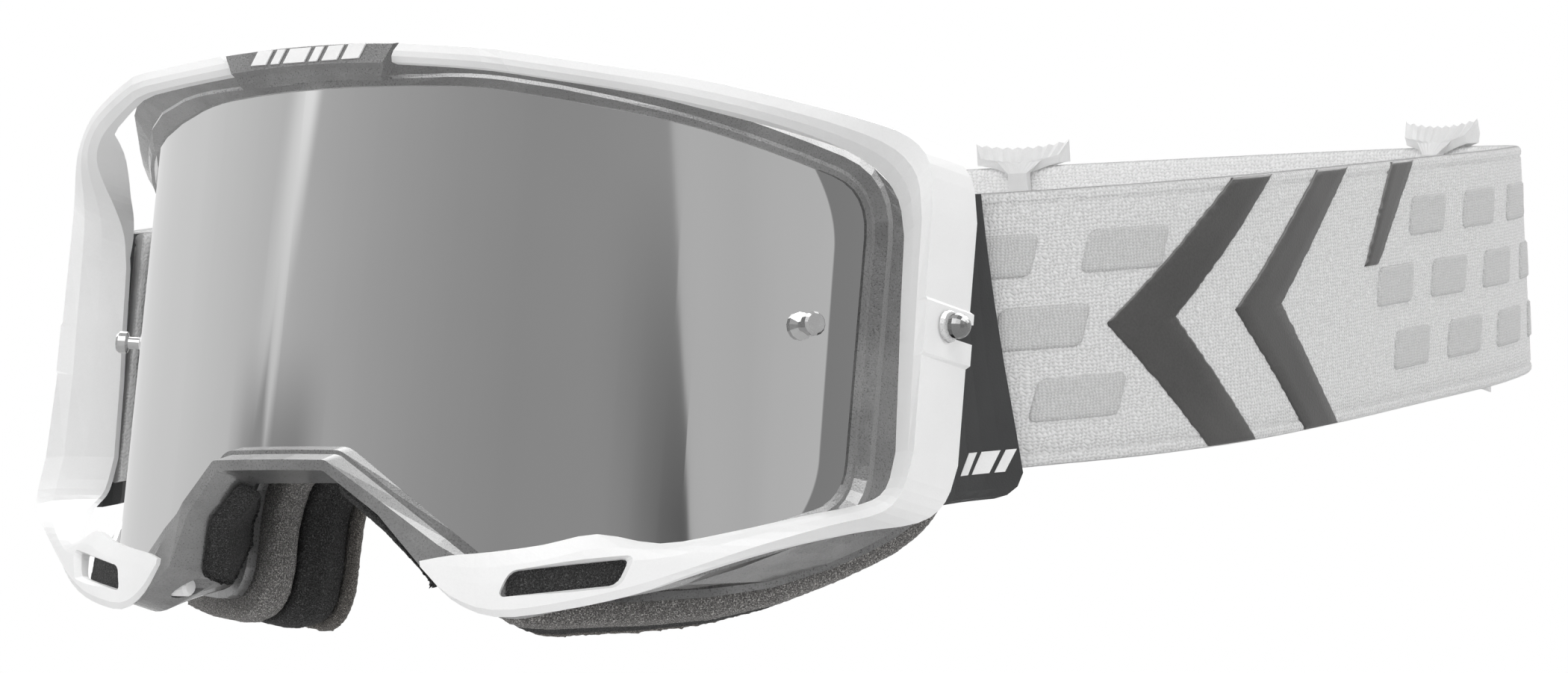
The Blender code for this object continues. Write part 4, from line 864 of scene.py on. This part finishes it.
# level across the strap, first start, end of the blocks before the print, start of those behind it
BLOCK_ROWS = (
    (0.0120, 0.0303, 0.0473, 0.1133), (0.0001, 0.0143, 0.0333, 0.1073), (-0.0117, 0.0203, 0.0393, 0.1053),
)
print("rows of blocks", len(BLOCK_ROWS))


# %% Woven blocks
def block_rows(start, level):
    """Grid of a parallelogram block with rounded corners."""
    rows = []
    for share in BLOCK_SHARES:
        height = (share - 0.5) * BLOCK_HEIGHT
        near = min(share, 1 - share) * BLOCK_HEIGHT
        cut = max(0.0, BLOCK_CORNER - near)
        inset = BLOCK_CORNER - math.sqrt(max(BLOCK_CORNER ** 2 - cut ** 2, 0.0))
        begin = start + inset + BLOCK_SLANT * height
        end = start + BLOCK_LENGTH - inset + BLOCK_SLANT * height
        rows.append([(begin + (end - begin) * step, level + height) for step in BLOCK_STEPS])
    return rows


block_store = ([], [], [])
for level, first_start, before, behind in BLOCK_ROWS:
    start = first_start - BLOCK_PITCH
    while start + BLOCK_LENGTH / 2 < strap_length / 2 - REAR_CLEARANCE:
        ahead = PLATE_COVER <= start and start + BLOCK_LENGTH < before
        if ahead or start > behind:
            add_slab_pair(block_store, block_rows(start, level), BLOCK_LIFTS)
        start += BLOCK_PITCH
blocks = mesh_piece("strap_blocks", block_store[0], block_store[1], [block_knit], "strap",
                    None, block_store[2])

# %% Shape of the print
STROKE = 0.0118
# each mark: points (length, level, width along the strap) down its middle, from the top edge
MARKS = (
    ((0.0678, 0.0222, STROKE), (0.0403, 0.0000, STROKE * 1.15), (0.0588, -0.0222, STROKE)),
    ((0.0953, 0.0222, STROKE), (0.0678, 0.0000, STROKE * 1.15), (0.0863, -0.0222, STROKE)),
    ((0.1250, 0.0222, STROKE * 0.85), (0.1090, 0.0042, STROKE * 0.45)),
)
MARK_STEPS = 45
MARK_LIFTS = lifts_from(surface, 0.0001, 0.0002, 0.0004)
ACROSS_MARK = (-0.5, -0.46, -0.2, 0.2, 0.46, 0.5)
RAGGED = 0.00035
RAGGED_SCALE = 1500
MARK_SCALE = 900
FRONT_EDGE, BACK_EDGE = 0.3, 7.3


def mark_rows(middle):
    """Grid of one printed mark, its long edges a little ragged where the knit shows through."""
    middle = np.array(middle)
    rows = []
    for share in np.linspace(0, len(middle) - 1, MARK_STEPS * (len(middle) - 1) + 1):
        length, level, width = (np.interp(share, range(len(middle)), middle[:, k]) for k in range(3))
        nick, other = (RAGGED * noise.noise(Vector((level * RAGGED_SCALE, middle[0][0] * MARK_SCALE, edge)))
                       for edge in (FRONT_EDGE, BACK_EDGE))
        shifts = (nick, nick, 0.0, 0.0, other, other)
        rows.append([(length + width * step + shift, level) for step, shift in zip(ACROSS_MARK, shifts)])
    return rows[::-1]


print("marks on each side", len(MARKS))

# %% Chevron print
print_rubber = finish(
    "print_rubber", grain_group,
    {"Dark": grey(0.045, 0.02), "Light": grey(0.078, 0.02), "Patch Scale": 35.0, "Grain Scale": 2600.0,
     "Smoothest": 0.28, "Roughest": 0.42},
    bump=0.2, bump_depth=GRAIN_DEPTH,
)
print_store = ([], [], [])
for middle in MARKS:
    add_slab_pair(print_store, mark_rows(middle), MARK_LIFTS)
chevrons = mesh_piece("strap_print", print_store[0], print_store[1], [print_rubber], "strap",
                      None, print_store[2])

# %% [markdown]
# ## Foam
# Three bonded layers of open-cell foam seal against the face. Cut foam isn't stuffed cloth, so no cloth
# simulation is used: the solid is remeshed into even small faces, smoothed a little so its cut edges
# round off, and then pushed in and out by a fixed noise so its outline is as ragged as real cells.

# %% Remesh a solid into even faces
ROUNDING_SHARE = 0.5


def even_piece(node, voxel, smoothing):
    """A copy of a solid with small even faces and slightly rounded edges."""
    builder = bmesh.new()
    builder.from_mesh(nodes[node].data)
    bmesh.ops.remove_doubles(builder, verts=builder.verts, dist=WELD)
    mesh = bpy.data.meshes.new(node + "_cells")
    builder.to_mesh(mesh)
    builder.free()
    piece = bpy.data.objects.new(node + "_cells", mesh)
    scene.collection.objects.link(piece)
    remesh = piece.modifiers.new("cells", "REMESH")
    remesh.mode = "VOXEL"
    remesh.voxel_size = voxel
    relax = piece.modifiers.new("rounded", "SMOOTH")
    relax.factor = ROUNDING_SHARE
    relax.iterations = smoothing
    bpy.context.view_layer.update()
    even = bpy.data.meshes.new_from_object(piece.evaluated_get(bpy.context.evaluated_depsgraph_get()))
    piece.modifiers.clear()
    piece.data = even
    return piece


def read_vectors(mesh, field):
    """One vector of every point of a mesh, as rows."""
    values = np.empty(len(mesh.vertices) * 3)
    mesh.vertices.foreach_get(field, values)
    return values.reshape(-1, 3)


print("foam edges rounded by", ROUNDING_SHARE)

# %% Roughen it into foam
PUSH_MIDDLE = 0.3
# a piece with a cut side is thinner there, where its faces turn that way, and less so near its front
THINNER_CUT = 0.0010
CUT_FROM, CUT_SPAN = 0.2, 0.4
CUT_DEPTH_SHARE = 0.4
CUT_LEAST = 0.25


def foam_piece(node, material, slot_name, voxel, smoothing, ragged, cell, fill, cut_side=None):
    """A ragged copy of a foam solid that stands for it."""
    piece = even_piece(node, voxel, smoothing)
    even = piece.data
    places, normals = read_vectors(even, "co"), read_vectors(even, "normal")
    push = np.array([noise.noise(Vector(p) / cell) for p in places])
    places = places + normals * (push[:, None] - PUSH_MIDDLE) * ragged
    if cut_side is not None:
        cut_way = np.array(cut_side) / np.linalg.norm(cut_side)
        turned = np.clip((normals @ cut_way - CUT_FROM) / CUT_SPAN, 0.0, 1.0)
        depth = places[:, 1] - places[:, 1].min()
        turned = turned * np.clip(depth / (CUT_DEPTH_SHARE * depth.max()), CUT_LEAST, 1.0)
        places = places - cut_way * (turned * THINNER_CUT)[:, None]
    even.vertices.foreach_set("co", places.ravel())
    even.materials.clear()
    even.materials.append(material)
    even.polygons.foreach_set("use_smooth", [True] * len(even.polygons))
    even.update()
    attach(piece, "goggle")
    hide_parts(node)
    print(piece.name, len(even.polygons), "faces")


# %% Foam finishes
FINE_DEPTH, COARSE_DEPTH = 0.0003, 0.0004
foam_olive = finish(
    "foam_olive", foam_group,
    {"Pore": grey(0.055, 0.03), "Wall": grey(0.62, 0.03), "Cell Scale": 4600.0},
    bump=0.8, bump_depth=FINE_DEPTH, Roughness=0.95,
)
foam_black = finish(
    "foam_black", foam_group, {"Pore": grey(0.003), "Wall": grey(0.15), "Cell Scale": 4600.0},
    bump=1.0, bump_depth=COARSE_DEPTH, Roughness=0.95,
)
fleece_brown = finish(
    "fleece_brown", foam_group,
    {"Pore": grey(0.045, 0.08), "Wall": grey(0.50, 0.08), "Cell Scale": 4800.0},
    bump=1.0, bump_depth=COARSE_DEPTH, Roughness=0.95, Sheen_Weight=0.1,
)
vent_black = finish(
    "vent_black", foam_group, {"Pore": grey(0.003), "Wall": grey(0.14), "Cell Scale": 4400.0},
    bump=1.0, bump_depth=COARSE_DEPTH, Roughness=0.95,
)
print("foams:", foam_olive.name, foam_black.name, fleece_brown.name, vent_black.name)

# %% Foam layers and vent foam
# node, finish, slot, size of the even faces, smoothing rounds, raggedness, size of a cell and fill
CELL = 0.0005
FOAM_LAYERS = (
    ("foam_base", foam_olive, "foam_olive_grey", 0.0008, 1, 0.00013, CELL, 0.9),
    ("foam_middle", foam_black, "foam_black", 0.0008, 1, 0.00013, CELL, 0.9),
    ("foam_fleece", fleece_brown, "fleece_brown_grey", 0.0007, 1, 0.00018, CELL, 0.8),
)
VENT_FOAM = (vent_black, "vent_foam_black", 0.0005, 2, 0.00008, CELL, 1.0)
OPEN_SIDEWAYS, OPEN_DOWN = -0.75, -0.66
for layer in FOAM_LAYERS:
    foam_piece(*layer)
foam_piece("brow_filter", *VENT_FOAM)
for side, sign in (("left", 1.0), ("right", -1.0)):
    foam_piece("cheek_filter_" + side, *VENT_FOAM)
    foam_piece("nose_filter_" + side, *VENT_FOAM, (OPEN_SIDEWAYS * sign, 0.0, OPEN_DOWN))

# %% [markdown]
# ## Marks on the bridge and the plates
# The bridge carries a row of slanted pale bars, and each strap plate has three small ones. They could be a
# pattern in the finish, but real marks stand out a little, so they are thin slabs laid on what carries them.

# %% Slanted bars on the bridge
BRIDGE_LOW = np.array((0.0, -0.06158, 0.0363))
BRIDGE_UP = np.array((0.0, 0.00018, 0.0024))
BRIDGE_OUT = np.array((0.0, -0.9972, 0.0748))
BAR_LEAN = np.array((0.0011, 0.0, 0.0))
BAR_THICKNESS = 0.00025
# place along the bridge and width of each bar
BRIDGE_BARS = (
    (-0.0112, 0.0030), (-0.0072, 0.0016), (-0.0046, 0.0042), (0.0006, 0.0016), (0.0032, 0.0030),
    (0.0072, 0.0034),
)
mark_ink = finish(
    "mark_ink", grain_group,
    {"Dark": grey(0.78), "Light": grey(0.88), "Patch Scale": 200.0, "Grain Scale": 5000.0,
     "Smoothest": 0.35, "Roughest": 0.5},
)


def bar_box(points, faces, corners, out, thickness):
    """A thin closed slab on four corners, raised along a direction."""
    base = len(points)
    points += [c - out * thickness * 0.5 for c in corners] + [c + out * thickness for c in corners]
    faces += [tuple(base + i for i in (3, 2, 1, 0)), tuple(base + i for i in (4, 5, 6, 7))]
    faces += [(base + i, base + (i + 1) % 4, base + 4 + (i + 1) % 4, base + 4 + i) for i in range(4)]


bar_points, bar_faces = [], []
for place, wide in BRIDGE_BARS:
    left, right = np.array((place, 0.0, 0.0)), np.array((place + wide, 0.0, 0.0))
    bridge_high = BRIDGE_LOW + BRIDGE_UP + BAR_LEAN
    corners = [BRIDGE_LOW + left, BRIDGE_LOW + right, bridge_high + right, bridge_high + left]
    bar_box(bar_points, bar_faces, corners, BRIDGE_OUT, BAR_THICKNESS)
mesh_piece("bridge_bars", bar_points, bar_faces, [mark_ink], "goggle", smooth=False)

# %% Slanted bars on the strap plates
PLATE_TOP = 0.0034
PLATE_BAR_LIFTS = lifts_from(PLATE_TOP, 0.0003, 0.00020, 0.00024)
PLATE_BAR_LOW, PLATE_BAR_HIGH = -0.0225, -0.0190
PLATE_BAR_SLANT = 0.5
BAR_GRID = 4
# start along the strap and width of each bar
PLATE_BARS = ((0.0076, 0.0016), (0.0100, 0.0030), (0.0138, 0.0016))
plate_store = ([], [], [])
for start, wide in PLATE_BARS:
    rows = []
    for level in np.linspace(PLATE_BAR_LOW, PLATE_BAR_HIGH, BAR_GRID):
        shift = start + (level - PLATE_BAR_LOW) * PLATE_BAR_SLANT
        rows.append([(shift + wide * step, level) for step in np.linspace(0, 1, BAR_GRID)])
    add_slab_pair(plate_store, rows, PLATE_BAR_LIFTS)
mesh_piece("plate_bars", plate_store[0], plate_store[1], [mark_ink], "strap", smooth=False)

# %% [markdown]
# ## What the lens mirrors
# A product picture shows a calm lens: the studio alone is mirrored in it. Pieces that stand close to the
# lens are left out of mirror reflections; they still cast their shadows and colour.

# %% Calm reflections
SINGLE_PIECES = ("face_frame", "brow_bridge")
PAIRED_PIECES = ("outrigger", "strap_plate", "cheek_peg", "strap_backing", "pin_collar", "lens_post",
                 "temple_pin")
near_lens = [*SINGLE_PIECES, *(name + side for name in PAIRED_PIECES for side in ("_left", "_right"))]
for piece in (*(nodes[name] for name in near_lens), strap, blocks, chevrons):
    piece.visible_glossy = False
print("pieces left out of mirror reflections:", len(near_lens) + 3)
